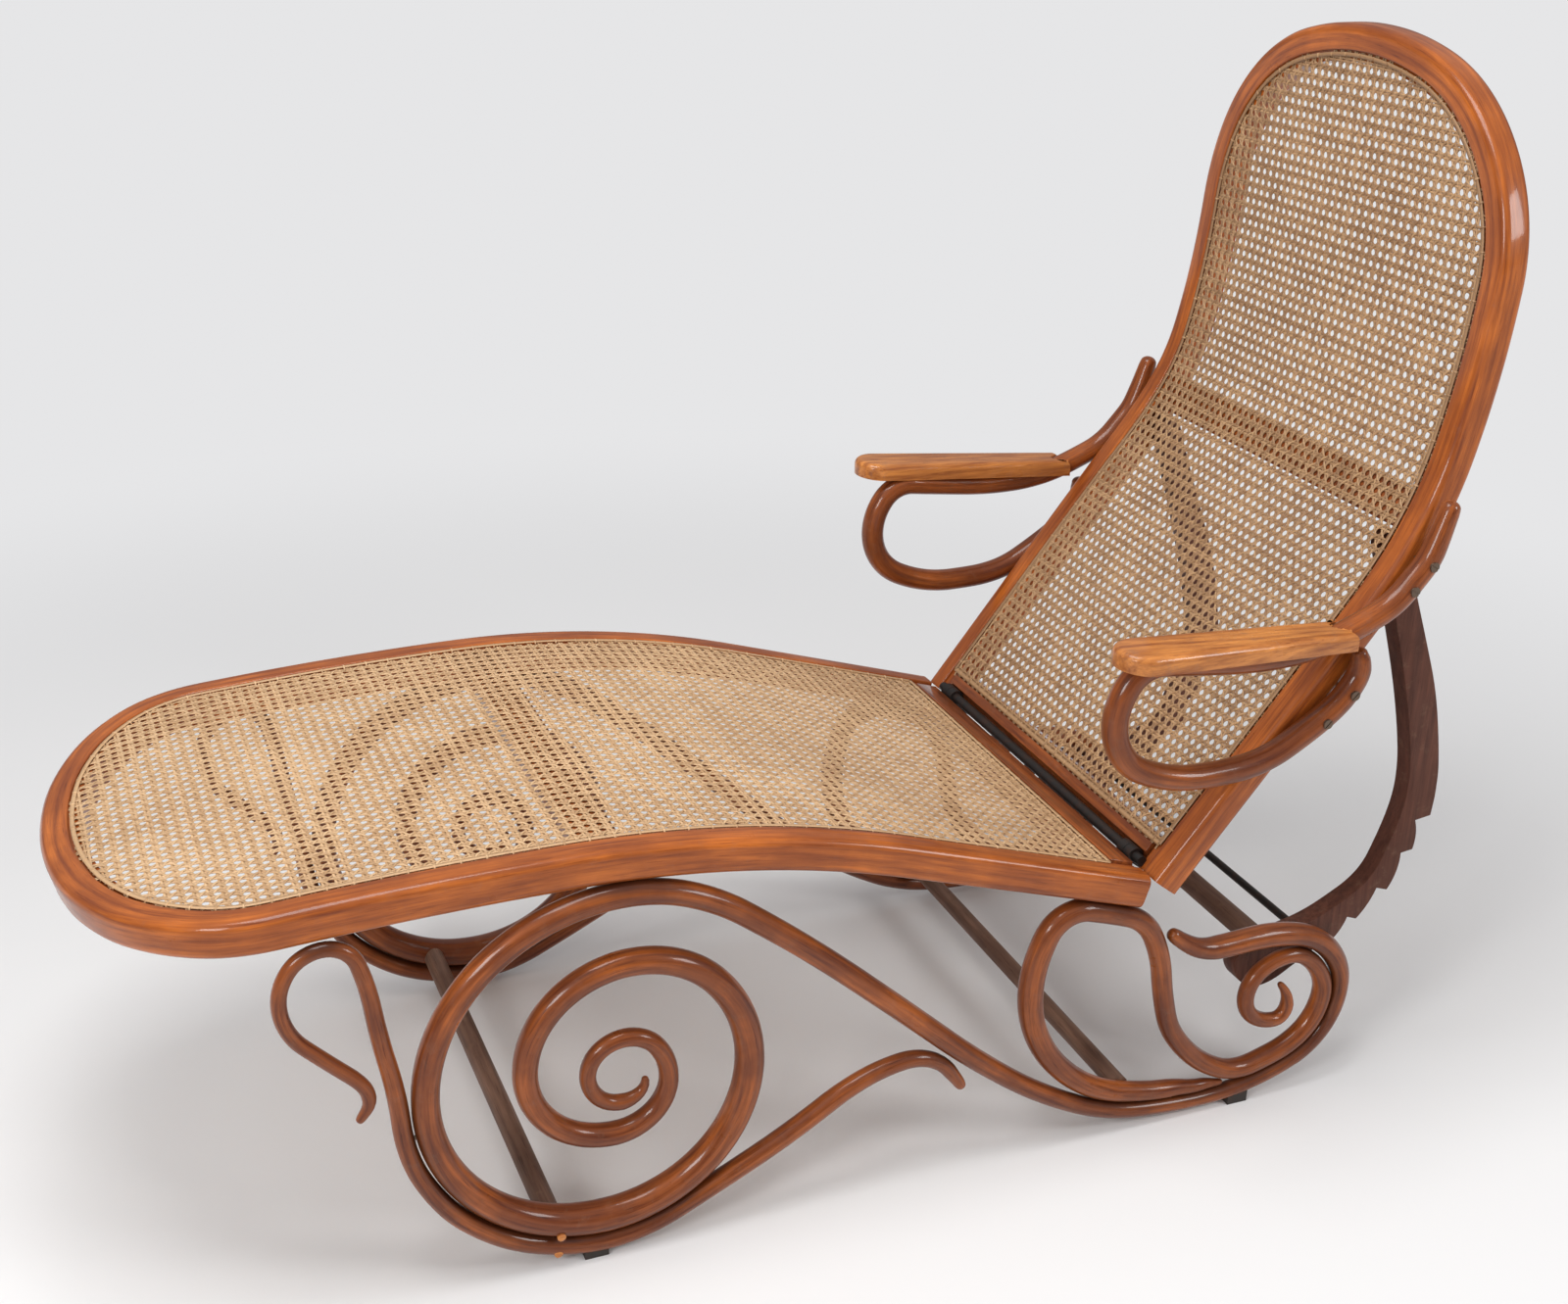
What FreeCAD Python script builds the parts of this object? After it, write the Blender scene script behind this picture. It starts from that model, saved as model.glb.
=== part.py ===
import FreeCAD, Part
import math
import os

V = FreeCAD.Vector
os.makedirs("parts", exist_ok=True)

# The bentwood reclining chair: x runs from the foot end to the head end, z is up, the floor is z = 0
# Every plan and side position below is in millimetres from the front stretcher's upright plane
doc = FreeCAD.newDocument("bentwood_chair")
sheet = doc.addObject("Spreadsheet::Sheet", "Sizes")
SIZES = {
    # where the model's origin lies: half way along the whole chair
    "origin_x": 328.15,
    # the bent runner strands of each side
    "strand_inset": 2.5,
    "strand_plane": "=seat_half_width - strand_inset",
    "main_strand_dia": 25.0,
    "foot_strand_dia": 22.0,
    "rear_strand_dia": 24.5,
    "strand_gap": 1.2,
    "seat_contact_gap": 0.3,
    # the two round stretchers and the iron rod across the base
    "front_stretcher_x": 4.7,
    "front_stretcher_z": 54.9,
    "front_stretcher_dia": 24.0,
    "middle_stretcher_x": 677.9,
    "middle_stretcher_z": 53.8,
    "middle_stretcher_dia": 22.0,
    "iron_rod_x": 964.0,
    "iron_rod_z": 156.0,
    "iron_rod_dia": 10.0,
    # dark feet under the lowest strand
    "foot_length": 26.0,
    "foot_width": 16.0,
    "front_foot_x": 50.0,
    "rear_foot_x": 834.0,
    # seat frame
    "seat_front_x": -437.0,
    "seat_half_width": 282.0,
    "seat_flare": 12.0,
    "seat_round_x": -246.0,
    "seat_top_z": 476.0,
    "seat_depth": 38.0,
    "rim_width": 30.0,
    "ledge_width": 12.0,
    "rebate_depth": 4.0,
    "cane_thickness": 2.0,
    "cane_gap": 0.3,
    "seat_cross_rail_x": 72.0,
    "seat_cross_rail_width": 46.0,
    "seat_cross_rail_depth": 20.0,
    "rim_round": 6.0,
    # hinge between seat and back
    "hinge_x": 694.0,
    "hinge_z": 331.0,
    "hinge_rod_dia": 12.0,
    "hinge_running_gap": 0.05,
    "hinge_barrel_dia": 19.0,
    "hinge_relief_gap": 1.5,
    "hinge_leaf_width": 26.0,
    "hinge_leaf_length": 34.0,
    "hinge_leaf_thickness": 3.0,
    "hinge_inset": 26.0,
    "hinge_rod_half": "=seat_half_width + seat_flare - rim_width - ledge_width",
    "hinge_centre_y": "=hinge_rod_half - hinge_inset",
    # back frame
    "back_overhang": 0.6,
    "back_half_width": "=seat_half_width + back_overhang",
    "back_base_lead": 3.7,
    "back_base_drop": 6.0,
    "back_swell": 10.4,
    "back_top_z": 1187.0,
    "back_depth": 37.0,
    "back_crown_radius": 430.0,
    "back_corner_radius": 230.0,
    "cross_rail_above_pin": 47.9,
    "back_cross_rail_width": 45.0,
    "back_cross_rail_depth": 22.0,
    # arms
    "arm_dia": 28.0,
    "arm_gap": 0.6,
    "arm_plane": "=back_half_width + back_swell + arm_dia / 2 + arm_gap",
    "pad_thickness": 20.0,
    "pad_front_width": 62.0,
    "pad_rear_width": 46.0,
    "pad_fit_gap": 0.3,
    "screw_dia": 5.0,
    "screw_head_dia": 11.0,
    "screw_head_height": 1.6,
    "screw_length": 34.0,
    "slot_width": 1.4,
    # toothed bows that prop the back
    "bow_side_gap": 5.0,
    "bow_outer_y": "=back_half_width + back_swell - rim_width - ledge_width - bow_side_gap",
    "bow_thickness": 25.0,
    "pivot_behind_hinge": 291.0,
    "pivot_above_hinge": 333.0,
    "bow_pivot_x": "=hinge_x + pivot_behind_hinge",
    "bow_pivot_z": "=hinge_z + pivot_above_hinge",
    "bow_end_radius": 15.5,
    "bow_pin_dia": 10.0,
    "bow_pin_length": 50.0,
    "bar_before_pivot": 82.0,
    "bar_below_pivot": 507.0,
    "bow_bar_x": "=bow_pivot_x - bar_before_pivot",
    "bow_bar_z": "=bow_pivot_z - bar_below_pivot",
    "bow_bar_dia": 28.0,
}
for row, word in enumerate(SIZES, 1):
    sheet.set("A%d" % row, word)
    sheet.setAlias("B%d" % row, word)
for row, value in enumerate(SIZES.values(), 1):
    sheet.set("B%d" % row, str(value))
doc.recompute()


def size(word):
    return float(sheet.get(word))


# Bends: every rod and outline is a chain of tangent arcs through named bend points


def unit(degrees):
    turn = math.radians(degrees)
    return math.cos(turn), math.sin(turn)


def two_arcs(a, b):
    """The point and heading where two tangent arcs from bend a to bend b meet"""
    ta = unit(a[2])
    tb = unit(b[2])
    vx = b[0] - a[0]
    vz = b[1] - a[1]
    square = 2 * (1 - (ta[0] * tb[0] + ta[1] * tb[1]))
    linear = 2 * (vx * (ta[0] + tb[0]) + vz * (ta[1] + tb[1]))
    plain = -(vx * vx + vz * vz)
    if abs(square) < 1e-9:
        reach = -plain / linear
    else:
        reach = (-linear + math.sqrt(linear * linear - 4 * square * plain)) / (2 * square)
    qa = (a[0] + reach * ta[0], a[1] + reach * ta[1])
    qb = (b[0] - reach * tb[0], b[1] - reach * tb[1])
    heading = math.degrees(math.atan2(qb[1] - qa[1], qb[0] - qa[0]))
    return (qa[0] + qb[0]) / 2, (qa[1] + qb[1]) / 2, heading


def turn_of(start, heading, end):
    """The angle, in degrees, through which an arc that starts at a heading turns to reach a point"""
    t = unit(heading)
    vx = end[0] - start[0]
    vz = end[1] - start[1]
    return 2 * math.degrees(math.atan2(t[0] * vz - t[1] * vx, t[0] * vx + t[1] * vz))


def arc_point(start, heading, end, share):
    """A point and heading part of the way along an arc"""
    turn = turn_of(start, heading, end)
    vx = end[0] - start[0]
    vz = end[1] - start[1]
    if abs(turn) < 1e-4:
        return start[0] + share * vx, start[1] + share * vz, heading
    radius = math.hypot(vx, vz) / (2 * math.sin(math.radians(turn / 2)))
    t = unit(heading)
    cx = start[0] - radius * t[1]
    cz = start[1] + radius * t[0]
    c, s = unit(turn * share)
    dx = start[0] - cx
    dz = start[1] - cz
    return cx + dx * c - dz * s, cz + dx * s + dz * c, heading + turn * share


def arcs(bends):
    """The arcs of a chain as start, heading, end, radius at the start, radius at the end"""
    out = []
    for a, b in zip(bends, bends[1:]):
        mx, mz, heading = two_arcs(a, b)
        ra = a[3] if len(a) > 3 else 0
        rb = b[3] if len(b) > 3 else 0
        out.append(((a[0], a[1]), a[2], (mx, mz), ra, (ra + rb) / 2))
        out.append(((mx, mz), heading, (b[0], b[1]), (ra + rb) / 2, rb))
    return out


def along(bends, index, share):
    """Place, heading and radius on the stretch after bend number index"""
    pair = arcs(bends[index:index + 2])
    first, last = pair
    if share < 0.5:
        run = first
        part = share * 2
    else:
        run = last
        part = share * 2 - 1
    x, z, heading = arc_point(run[0], run[1], run[2], part)
    return x, z, heading, run[3] + (run[4] - run[3]) * part


def beside(bends, index, share, radius, gap):
    """A bend that lies against another strand, on its left or on its right, running the other way"""
    x, z, heading, thick = along(bends, index, share)
    reach = thick + abs(radius) + gap
    side = math.copysign(1, radius)
    return (x - side * reach * unit(heading)[1], z + side * reach * unit(heading)[0],
            heading + 180, abs(radius))


def within(bends, index, share, radius, gap):
    """A bend that lies against another strand on its left and runs the same way"""
    x, z, heading, thick = along(bends, index, share)
    return (*shifted(x, z, heading, thick + radius + gap), heading, radius)


STEP_DEGREES = 9.0
STEP_LENGTH = 80.0


def stations(bends):
    out = []
    for start, heading, end, ra, rb in arcs(bends):
        turn = turn_of(start, heading, end)
        count = max(1, math.ceil(abs(turn) / STEP_DEGREES), math.ceil(math.dist(start, end) / STEP_LENGTH))
        for i in range(count + 1):
            if out and i == 0:
                continue
            x, z, h = arc_point(start, heading, end, i / count)
            out.append((x, z, h, ra + (rb - ra) * i / count))
    return out


def bent_rod(bends, y, extra=0.0):
    """A closed rod through circles square to the bent path"""
    rings = []
    for x, z, heading, radius in stations(bends):
        c, s = unit(heading)
        rings.append(Part.Wire([Part.Circle(V(x, y, z), V(c, 0, s), radius + extra).toShape()]))
    return Part.makeLoft(rings, True, True)


def shifted(x, z, heading, reach):
    c, s = unit(heading)
    return x - reach * s, z + reach * c


def edges(bends, reach, spot):
    """Lines and arcs of a chain moved to its left by reach; spot turns two numbers into a point"""
    out = []
    for start, heading, end, _, _ in arcs(bends):
        if math.dist(start, end) < 1e-6:
            continue
        points = []
        for share in (0.0, 0.5, 1.0):
            x, z, h = arc_point(start, heading, end, share)
            points.append(spot(*shifted(x, z, h, reach)))
        if abs(turn_of(start, heading, end)) < 0.02:
            out.append(Part.LineSegment(points[0], points[2]).toShape())
        else:
            out.append(Part.Arc(*points).toShape())
    return out


def moved(bends, x, z):
    """A chain whose bend points are given from the place x, z"""
    return [(bend[0] + x, bend[1] + z, *bend[2:]) for bend in bends]


def at_height(bends, index, z):
    """Place and heading where the stretch after bend number index rises through a height"""
    low = 0.0
    high = 1.0
    while high - low > 1e-7:
        middle = (low + high) / 2
        if along(bends, index, middle)[1] < z:
            low = middle
        else:
            high = middle
    return along(bends, index, low)[:3]


def strip(bends, reach_a, reach_b, spot):
    """The face between two copies of a chain, moved to its left by reach_a and reach_b"""
    a = edges(bends, reach_a, spot)
    b = edges(bends, reach_b, spot)
    ends = []
    for bend in (bends[0], bends[-1]):
        pa = spot(*shifted(bend[0], bend[1], bend[2], reach_a))
        pb = spot(*shifted(bend[0], bend[1], bend[2], reach_b))
        ends.append(Part.LineSegment(pa, pb).toShape())
    return Part.Face(Part.Wire(Part.__sortEdges__(a + b + ends)))


def outline(points, spot):
    """A closed face of straight lines through points"""
    corners = [spot(*p) for p in points]
    return Part.Face(Part.makePolygon(corners + [corners[0]]))


def plan(x, y):
    return V(x, y, 0)


def side(x, z):
    return V(x, 0, z)


def front(y, z):
    return V(0, y, z)


# Ways to place objects of the document
nodes = []


def plain(name, shape):
    obj = doc.addObject("Part::Feature", name)
    obj.Shape = shape
    return obj


def bound(kind, name, sizes=None, place=None):
    obj = doc.addObject(kind, name)
    for prop, text in (sizes or {}).items():
        obj.setExpression(prop, text)
    if place is not None:
        obj.Placement = place
    return obj


def slab(name, face, direction, length, start=None):
    """A face drawn out along a direction"""
    obj = doc.addObject("Part::Extrusion", name)
    obj.Base = plain(name + "_face", face)
    obj.DirMode = "Custom"
    obj.Dir = direction
    obj.LengthFwd = length / 2
    obj.LengthRev = length / 2
    obj.Solid = True
    return obj


def common(name, a, b):
    obj = doc.addObject("Part::Common", name)
    obj.Base = a
    obj.Tool = b
    return obj


def less(name, a, b):
    obj = doc.addObject("Part::Cut", name)
    obj.Base = a
    obj.Tool = b
    return obj


def group(name, parts):
    obj = doc.addObject("Part::MultiFuse", name)
    obj.Shapes = parts
    return obj


def mirrored(name, source):
    obj = doc.addObject("Part::Mirroring", name)
    obj.Source = source
    obj.Base = V(0, 0, 0)
    obj.Normal = V(0, 1, 0)
    return obj


def rounded(name, body, radius, wall_up, seen):
    """A slab whose outer wall meets its curved faces in a round; seen tells which faces from their normals"""
    doc.recompute()
    shape = body.Shape
    picked = []
    for number, edge in enumerate(shape.Edges, 1):
        middle = edge.valueAt((edge.FirstParameter + edge.LastParameter) / 2)
        kinds = []
        for face in shape.ancestorsOfType(edge, Part.Face):
            normal = face.normalAt(*face.Surface.parameter(middle))
            if abs(normal.dot(wall_up)) < 1e-3:
                kinds.append("end" if abs(normal.y) < 1e-3 and abs(wall_up.z) > 0.5 and normal.x > 0.99 else "wall")
            elif seen(normal):
                kinds.append("face")
        if sorted(kinds) == ["face", "wall"]:
            picked.append((number, radius, radius))
    obj = doc.addObject("Part::Fillet", name)
    obj.Base = body
    obj.Edges = picked
    return obj


def node(obj, label):
    obj.Label = label
    placed = dict(obj.ExpressionEngine).get(".Placement.Base.x", "0")
    obj.setExpression("Placement.Base.x", "%s - Sizes.origin_x" % placed)
    nodes.append(obj)
    return obj


def node_pair(obj, label):
    """The same piece on the left and, mirrored, on the right"""
    node(obj, label + "_left")
    other = mirrored(label + "_right_copy", obj)
    other.Label = label + "_right"
    nodes.append(other)


# Tools that cut right across the chair, or stand above it, are this long
across = 3.2 * size("seat_half_width")
upright = 2 * size("back_top_z")

# Seat curve seen from the side: the top of the frame from the foot end to the hinge
top = size("seat_top_z")
SEAT = [(size("seat_front_x") - 6, top - 41.3, 14.9), (-300.0, top - 15.3, 5.0), (50.0, top, 0.0),
        (400.0, top - 54.0, -17.5), (740.0, top - 161.2, -17.5)]


def below_seat(index, share, radius):
    """A bend that passes under the seat frame with a strand of this radius against it"""
    x, z, heading, _ = along(SEAT, index, share)
    reach = size("seat_depth") + size("seat_contact_gap") + radius
    return (*shifted(x, z, heading, -reach), heading, radius)


# Strands: bend points as x, z, heading in degrees and radius as a share of the strand's own thickness
m = size("main_strand_dia") / 2
f = size("foot_strand_dia") / 2
r = size("rear_strand_dia") / 2
gap = size("strand_gap")
MAIN = [
    (106.6, 207.0, -75, 0.29 * m), (82.8, 182.2, 180, 0.68 * m), (46.6, 220.5, 90, 0.69 * m),
    (85.9, 258.2, 0, 0.77 * m), (132.5, 201.8, -90, 0.83 * m), (74.5, 145.9, 180, 1.01 * m),
    (-17.6, 237.0, 90, 1.04 * m), (93.2, 345.2, 0, 1.14 * m), (221.0, 203.9, -90, 1.26 * m),
    (62.1, 46.1, 180, 1.39 * m), (-118.0, 226.7, 90, 1.14 * m), below_seat(2, 0.13, 1.08 * m),
    (212.2, 377.8, -37, 1.04 * m), (445.1, 174.9, -43, 0.99 * m), (621.0, 45.5, -27, 0.88 * m),
    (786.6, 14.5, 0, 0.76 * m), (964.6, 129.4, 90, 0.88 * m), (940.8, 185.3, 133, 1.04 * m),
    (843.5, 219.4, 180, 1.13 * m), (786.6, 217.4, 180, 1.09 * m), (722.0, 250.5, 136, 0.64 * m),
]
FOOT = [
    (-184.2, 223.6, 50, 0.38 * f), (-171.8, 249.4, 95, 0.66 * f), (-188.4, 278.4, 135, 0.7 * f),
    (-248.4, 369.5, 90, 0.7 * f), below_seat(1, 0.26, 0.7 * f), (-162.5, 348.8, -83, 0.8 * f),
    beside(MAIN, 9, 0.96, 0.88 * f, gap), beside(MAIN, 9, 0.72, 0.92 * f, gap),
    beside(MAIN, 9, 0.5, 0.98 * f, gap), beside(MAIN, 9, 0.22, 1.03 * f, gap),
    beside(MAIN, 9, 0.0, 1.06 * f, gap), beside(MAIN, 8, 0.72, 1.03 * f, gap),
    (310.5, 123.2, 33, 1.0 * f), (398.5, 156.3, 6, 0.9 * f), (455.4, 130.4, -55, 0.77 * f),
    (472.0, 104.5, -65, 0.56 * f),
]
REAR = [
    beside(MAIN, 15, 0.12, 0.3 * r, gap), beside(MAIN, 15, 0.0, 0.6 * r, gap),
    beside(MAIN, 14, 0.7, 0.88 * r, gap), beside(MAIN, 14, 0.3, 1.01 * r, gap),
    (579.6, 119.0, 126, 1.12 * r), (549.6, 209.1, 90, 1.17 * r), below_seat(3, 0.68, 1.06 * r),
    (699.7, 250.5, -64, 0.97 * r), (727.6, 141.8, -75, 0.96 * r), (766.0, 80.0, -45, 0.97 * r),
    within(MAIN, 15, 0.3, 0.99 * r, gap), within(MAIN, 15, 0.6, 0.98 * r, gap),
    within(MAIN, 15, 0.98, 0.95 * r, gap), within(MAIN, 16, 0.8, 0.88 * r, gap),
    (888.0, 186.0, 180, 0.79 * r), (834.2, 139.7, -90, 0.81 * r), (877.7, 101.4, 0, 0.72 * r),
    (893.2, 119.0, 90, 0.66 * r), (878.7, 150.1, 135, 0.29 * r),
]

near = -size("strand_plane")
main_rod = plain("main_rod", bent_rod(MAIN, near))
foot_rod = plain("foot_rod", bent_rod(FOOT, near))
rear_rod = plain("rear_rod", bent_rod(REAR, near))


def round_bar(name, dia, length, start, axis, turn=None):
    """A cylinder bound to the sheet: diameter and length are expressions, start is x, y, z expressions"""
    obj = doc.addObject("Part::Cylinder", name)
    obj.setExpression("Radius", "(%s) / 2" % dia)
    obj.setExpression("Height", length)
    turns = {"x": FreeCAD.Rotation(V(0, 1, 0), 90), "y": FreeCAD.Rotation(V(1, 0, 0), -90),
             "z": FreeCAD.Rotation()}
    obj.Placement = FreeCAD.Placement(V(0, 0, 0), turn or turns[axis])
    for letter, text in zip("xyz", start):
        obj.setExpression("Placement.Base." + letter, text)
    return obj


# Screws that tie two strands together where they lie against each other
def strand_screw(name, bends, index, share, reach):
    """A screw square to a strand at a place along it, sunk through it towards its left"""
    x, z, heading, thick = along(bends, index, share)
    c, s = unit(heading)
    across = V(-s, 0, c)
    start = V(x, near, z) - across * (0.35 * thick)
    shank = Part.makeCylinder(size("screw_dia") / 2, reach + 0.35 * thick, start, across)
    return plain(name, shank)


tie_set = [
    strand_screw("tie_foot_low", FOOT, 10, 0.0, 30.0),
    strand_screw("tie_foot_side", FOOT, 6, 0.3, 27.0),
    strand_screw("tie_rear_low", MAIN, 14, 0.75, 25.0),
    strand_screw("tie_rear_end", MAIN, 15, 0.9, 26.0),
]
tie_holes = group("strand_tie_holes", tie_set)

# Round bars across the base, their ends let into the strands
front_bar = round_bar("front_bar", "Sizes.front_stretcher_dia", "Sizes.strand_plane * 2",
                      ("Sizes.front_stretcher_x", "-Sizes.strand_plane", "Sizes.front_stretcher_z"), "y")
middle_bar = round_bar("middle_bar", "Sizes.middle_stretcher_dia", "Sizes.strand_plane * 2 - 10",
                       ("Sizes.middle_stretcher_x", "-Sizes.strand_plane + 5", "Sizes.middle_stretcher_z"), "y")
iron_bar = round_bar("iron_bar", "Sizes.iron_rod_dia", "Sizes.strand_plane * 2 - 6",
                     ("Sizes.iron_rod_x", "-Sizes.strand_plane + 3", "Sizes.iron_rod_z"), "y")


def far_copy(name, obj):
    return mirrored(name, obj)


main_far = far_copy("main_rod_far", main_rod)
rear_far = far_copy("rear_rod_far", rear_rod)
node(less("front_stretcher_body", less("front_stretcher_a", front_bar, main_rod), main_far), "front_stretcher")
node(less("middle_stretcher_body", less("middle_stretcher_a", middle_bar, rear_rod), rear_far), "middle_stretcher")
node(less("iron_rod_body", less("iron_rod_a", iron_bar, main_rod), main_far), "support_rod")

node_pair(less("main_scroll", main_rod, tie_holes), "main_scroll")
node_pair(less("foot_scroll", foot_rod, tie_holes), "foot_scroll")
node_pair(less("rear_scroll", rear_rod, tie_holes), "rear_scroll")
node_pair(group("strand_ties", tie_set), "scroll_screws")

# Dark feet, hollowed on top to fit the strand
for name, place, strand in (("front_foot", "front_foot_x", foot_rod), ("rear_foot", "rear_foot_x", main_rod)):
    block = bound("Part::Box", name + "_block", {
        "Length": "Sizes.foot_length", "Width": "Sizes.foot_width", "Height": "20",
        "Placement.Base.x": "Sizes.%s - Sizes.foot_length / 2" % place,
        "Placement.Base.y": "-Sizes.strand_plane - Sizes.foot_width / 2"})
    node_pair(less(name + "_body", block, strand), name)

# Seat frame: a bent rim, closed by a rail at the hinge, with a rail across its middle
half = size("seat_half_width")
flare = size("seat_flare")
tip = size("seat_front_x")
bend_x = size("seat_round_x")
relief = size("hinge_barrel_dia") / 2 + size("hinge_relief_gap")
seat_end = size("hinge_x") - relief
long_side = seat_end - bend_x
SEAT_PLAN = [
    (seat_end, half + flare, 180 + math.degrees(math.atan2(flare, long_side))),
    (bend_x, half, 180 + math.degrees(math.atan2(flare, long_side))),
    (bend_x + 0.775 * (tip - bend_x), 0.645 * half, 241), (tip, 0.0, 270),
]
SEAT_PLAN = SEAT_PLAN + [(x, -y, 180 - h) for x, y, h in reversed(SEAT_PLAN[:-1])]


def seat_area(name, reach, end):
    """The plan inside the rim by a reach, from the foot end to an upright plane at end"""
    loop = edges(SEAT_PLAN, reach, plan)
    first = plan(*shifted(*SEAT_PLAN[0], reach))
    last = plan(*shifted(*SEAT_PLAN[-1], reach))
    face = Part.Face(Part.Wire(Part.__sortEdges__(loop + [Part.LineSegment(last, first).toShape()])))
    if end < seat_end:
        keep = Part.makePlane(upright, across, V(end - upright, -across / 2, 0))
        face = face.common(keep).Faces[0]
    return slab(name, face, V(0, 0, 1), upright)


def seat_band(name, low, high):
    return slab(name, strip(SEAT, low, high, side), V(0, 1, 0), across)


depth = size("seat_depth")
ledge = size("rim_width") + size("ledge_width")
rebate = size("rebate_depth")
seat_outer = seat_area("seat_outer", 0.0, seat_end)
seat_inner = seat_area("seat_inner", ledge, seat_end + 1)
seat_hole = seat_area("seat_hole", size("rim_width"), seat_end - size("rim_width"))
seat_panel = seat_area("seat_panel", size("rim_width") + size("cane_gap"),
                       seat_end - size("rim_width") - size("cane_gap"))
seat_rebate = common("seat_rebate", seat_hole, seat_band("seat_rebate_band", -rebate, 30.0))
seat_slab = common("seat_slab", seat_outer, seat_band("seat_frame_band", -depth, 0.0))
seat_round = rounded("seat_round", seat_slab, size("rim_round"), V(0, 0, 1), lambda normal: normal.z > 0.1)
seat_ring = less("seat_ring", seat_round, seat_inner)
seat_rim = less("seat_rim_body", seat_ring, seat_rebate)
node(seat_rim, "seat_rim")
rail_zone = bound("Part::Box", "seat_rail_zone", {
    "Length": "Sizes.rim_width + Sizes.ledge_width", "Width": "Sizes.seat_half_width * 3", "Height": "Sizes.seat_top_z * 2",
    "Placement.Base.x": "Sizes.hinge_x - Sizes.hinge_barrel_dia / 2 - Sizes.hinge_relief_gap"
                        " - Sizes.rim_width - Sizes.ledge_width",
    "Placement.Base.y": "-Sizes.seat_half_width * 1.5"})
rail_core = common("seat_rail_core", common("seat_rail_a", seat_inner, rail_zone),
                   seat_band("seat_rail_band", -depth + 4.0, 0.0))
node(less("seat_rear_rail_body", rail_core, seat_rebate), "seat_rear_rail")
node(common("seat_cane_body", seat_panel,
            seat_band("seat_cane_band", -rebate, -rebate + size("cane_thickness"))), "seat_cane")
cross_zone = bound("Part::Box", "seat_cross_zone", {
    "Length": "Sizes.seat_cross_rail_width", "Width": "Sizes.seat_half_width * 3", "Height": "Sizes.seat_top_z * 2",
    "Placement.Base.x": "Sizes.seat_cross_rail_x - Sizes.seat_cross_rail_width / 2",
    "Placement.Base.y": "-Sizes.seat_half_width * 1.5"})
cross_band = seat_band("seat_cross_band", -rebate - size("seat_cross_rail_depth"), -rebate)
node(common("seat_cross_rail_body", common("seat_cross_a", seat_inner, cross_zone), cross_band), "seat_cross_rail")

# Back frame: an arched rim seen from the front, curved backwards seen from the side
hinge_x = size("hinge_x")
hinge_z = size("hinge_z")
back_base = (hinge_x - size("back_base_lead"), hinge_z - size("back_base_drop"))
back_rise = size("back_top_z") - hinge_z
BACK = [(*back_base, 52.0)] + moved([
    (241.0, 307.2, 52.0), (318.0, 454.6, 76.0), (349.0, back_rise - 147.0, 89.0), (349.8, back_rise + 28.0, 90.4),
], hinge_x, hinge_z)
bh = size("back_half_width")
crown = size("back_crown_radius")
corner = size("back_corner_radius")
back_top = size("back_top_z")
rise = math.sqrt((crown - corner) ** 2 - (bh - corner) ** 2)
spring_z = back_top - crown + rise
lean = math.degrees(math.atan2(rise, bh - corner))
meet = (crown * unit(lean)[0], back_top - crown + crown * unit(lean)[1])
BACK_FRONT = [
    (bh + size("back_swell") - 7.0, hinge_z - 81.0, 88.9), (bh + size("back_swell"), hinge_z + 259.0, 90.0),
    (bh, hinge_z + 469.0, 90.0), (bh, spring_z, 90.0), (meet[0], meet[1], 90 + lean), (0.0, back_top, 180.0),
]
BACK_FRONT = BACK_FRONT + [(-y, z, -h) for y, z, h in reversed(BACK_FRONT[:-1])]


def back_area(name, reach):
    loop = edges(BACK_FRONT, reach, front)
    first = front(*shifted(*BACK_FRONT[0], reach))
    last = front(*shifted(*BACK_FRONT[-1], reach))
    face = Part.Face(Part.Wire(Part.__sortEdges__(loop + [Part.LineSegment(last, first).toShape()])))
    return slab(name, face, V(1, 0, 0), upright)


def back_band(name, low, high):
    return slab(name, strip(BACK, low, high, side), V(0, 1, 0), across)


back_depth = size("back_depth")
rail_height = size("rim_width") + size("ledge_width")
back_outer = back_area("back_outer", 0.0)
back_inner = back_area("back_inner", rail_height)
back_hole = back_area("back_hole", size("rim_width"))
back_panel = back_area("back_panel", size("rim_width") + size("cane_gap"))
base_line = unit(BACK[0][2])


def across_back(name, place, heading, start, length):
    """A box right across the back, square to a heading, from start to start + length along it"""
    box = doc.addObject("Part::Box", name)
    box.Length = length
    box.Width = across
    box.Height = 6 * back_depth
    c, s = unit(heading)
    box.Placement = FreeCAD.Placement(
        V(place[0] + start * c + 3 * back_depth * s, -across / 2, place[1] + start * s - 3 * back_depth * c),
        FreeCAD.Rotation(V(0, 1, 0), -heading))
    return box


def back_foot(name, start, length):
    """A box across the straight lower part of the back, from a distance up it"""
    return across_back(name, back_base, BACK[0][2], start, length)


hinge_hollow = round_bar("hinge_hollow", "Sizes.hinge_barrel_dia + 2 * Sizes.hinge_relief_gap",
                         "Sizes.seat_half_width * 3",
                         ("Sizes.hinge_x", "-Sizes.seat_half_width * 1.5", "Sizes.hinge_z"), "y")
below_back = 4 * size("rim_width")
back_rebate = less("back_rebate", common("back_rebate_all", back_hole, back_band("back_rebate_band", -rebate, 30.0)),
                   back_foot("back_rebate_stop", -below_back, below_back + size("rim_width")))

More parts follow.
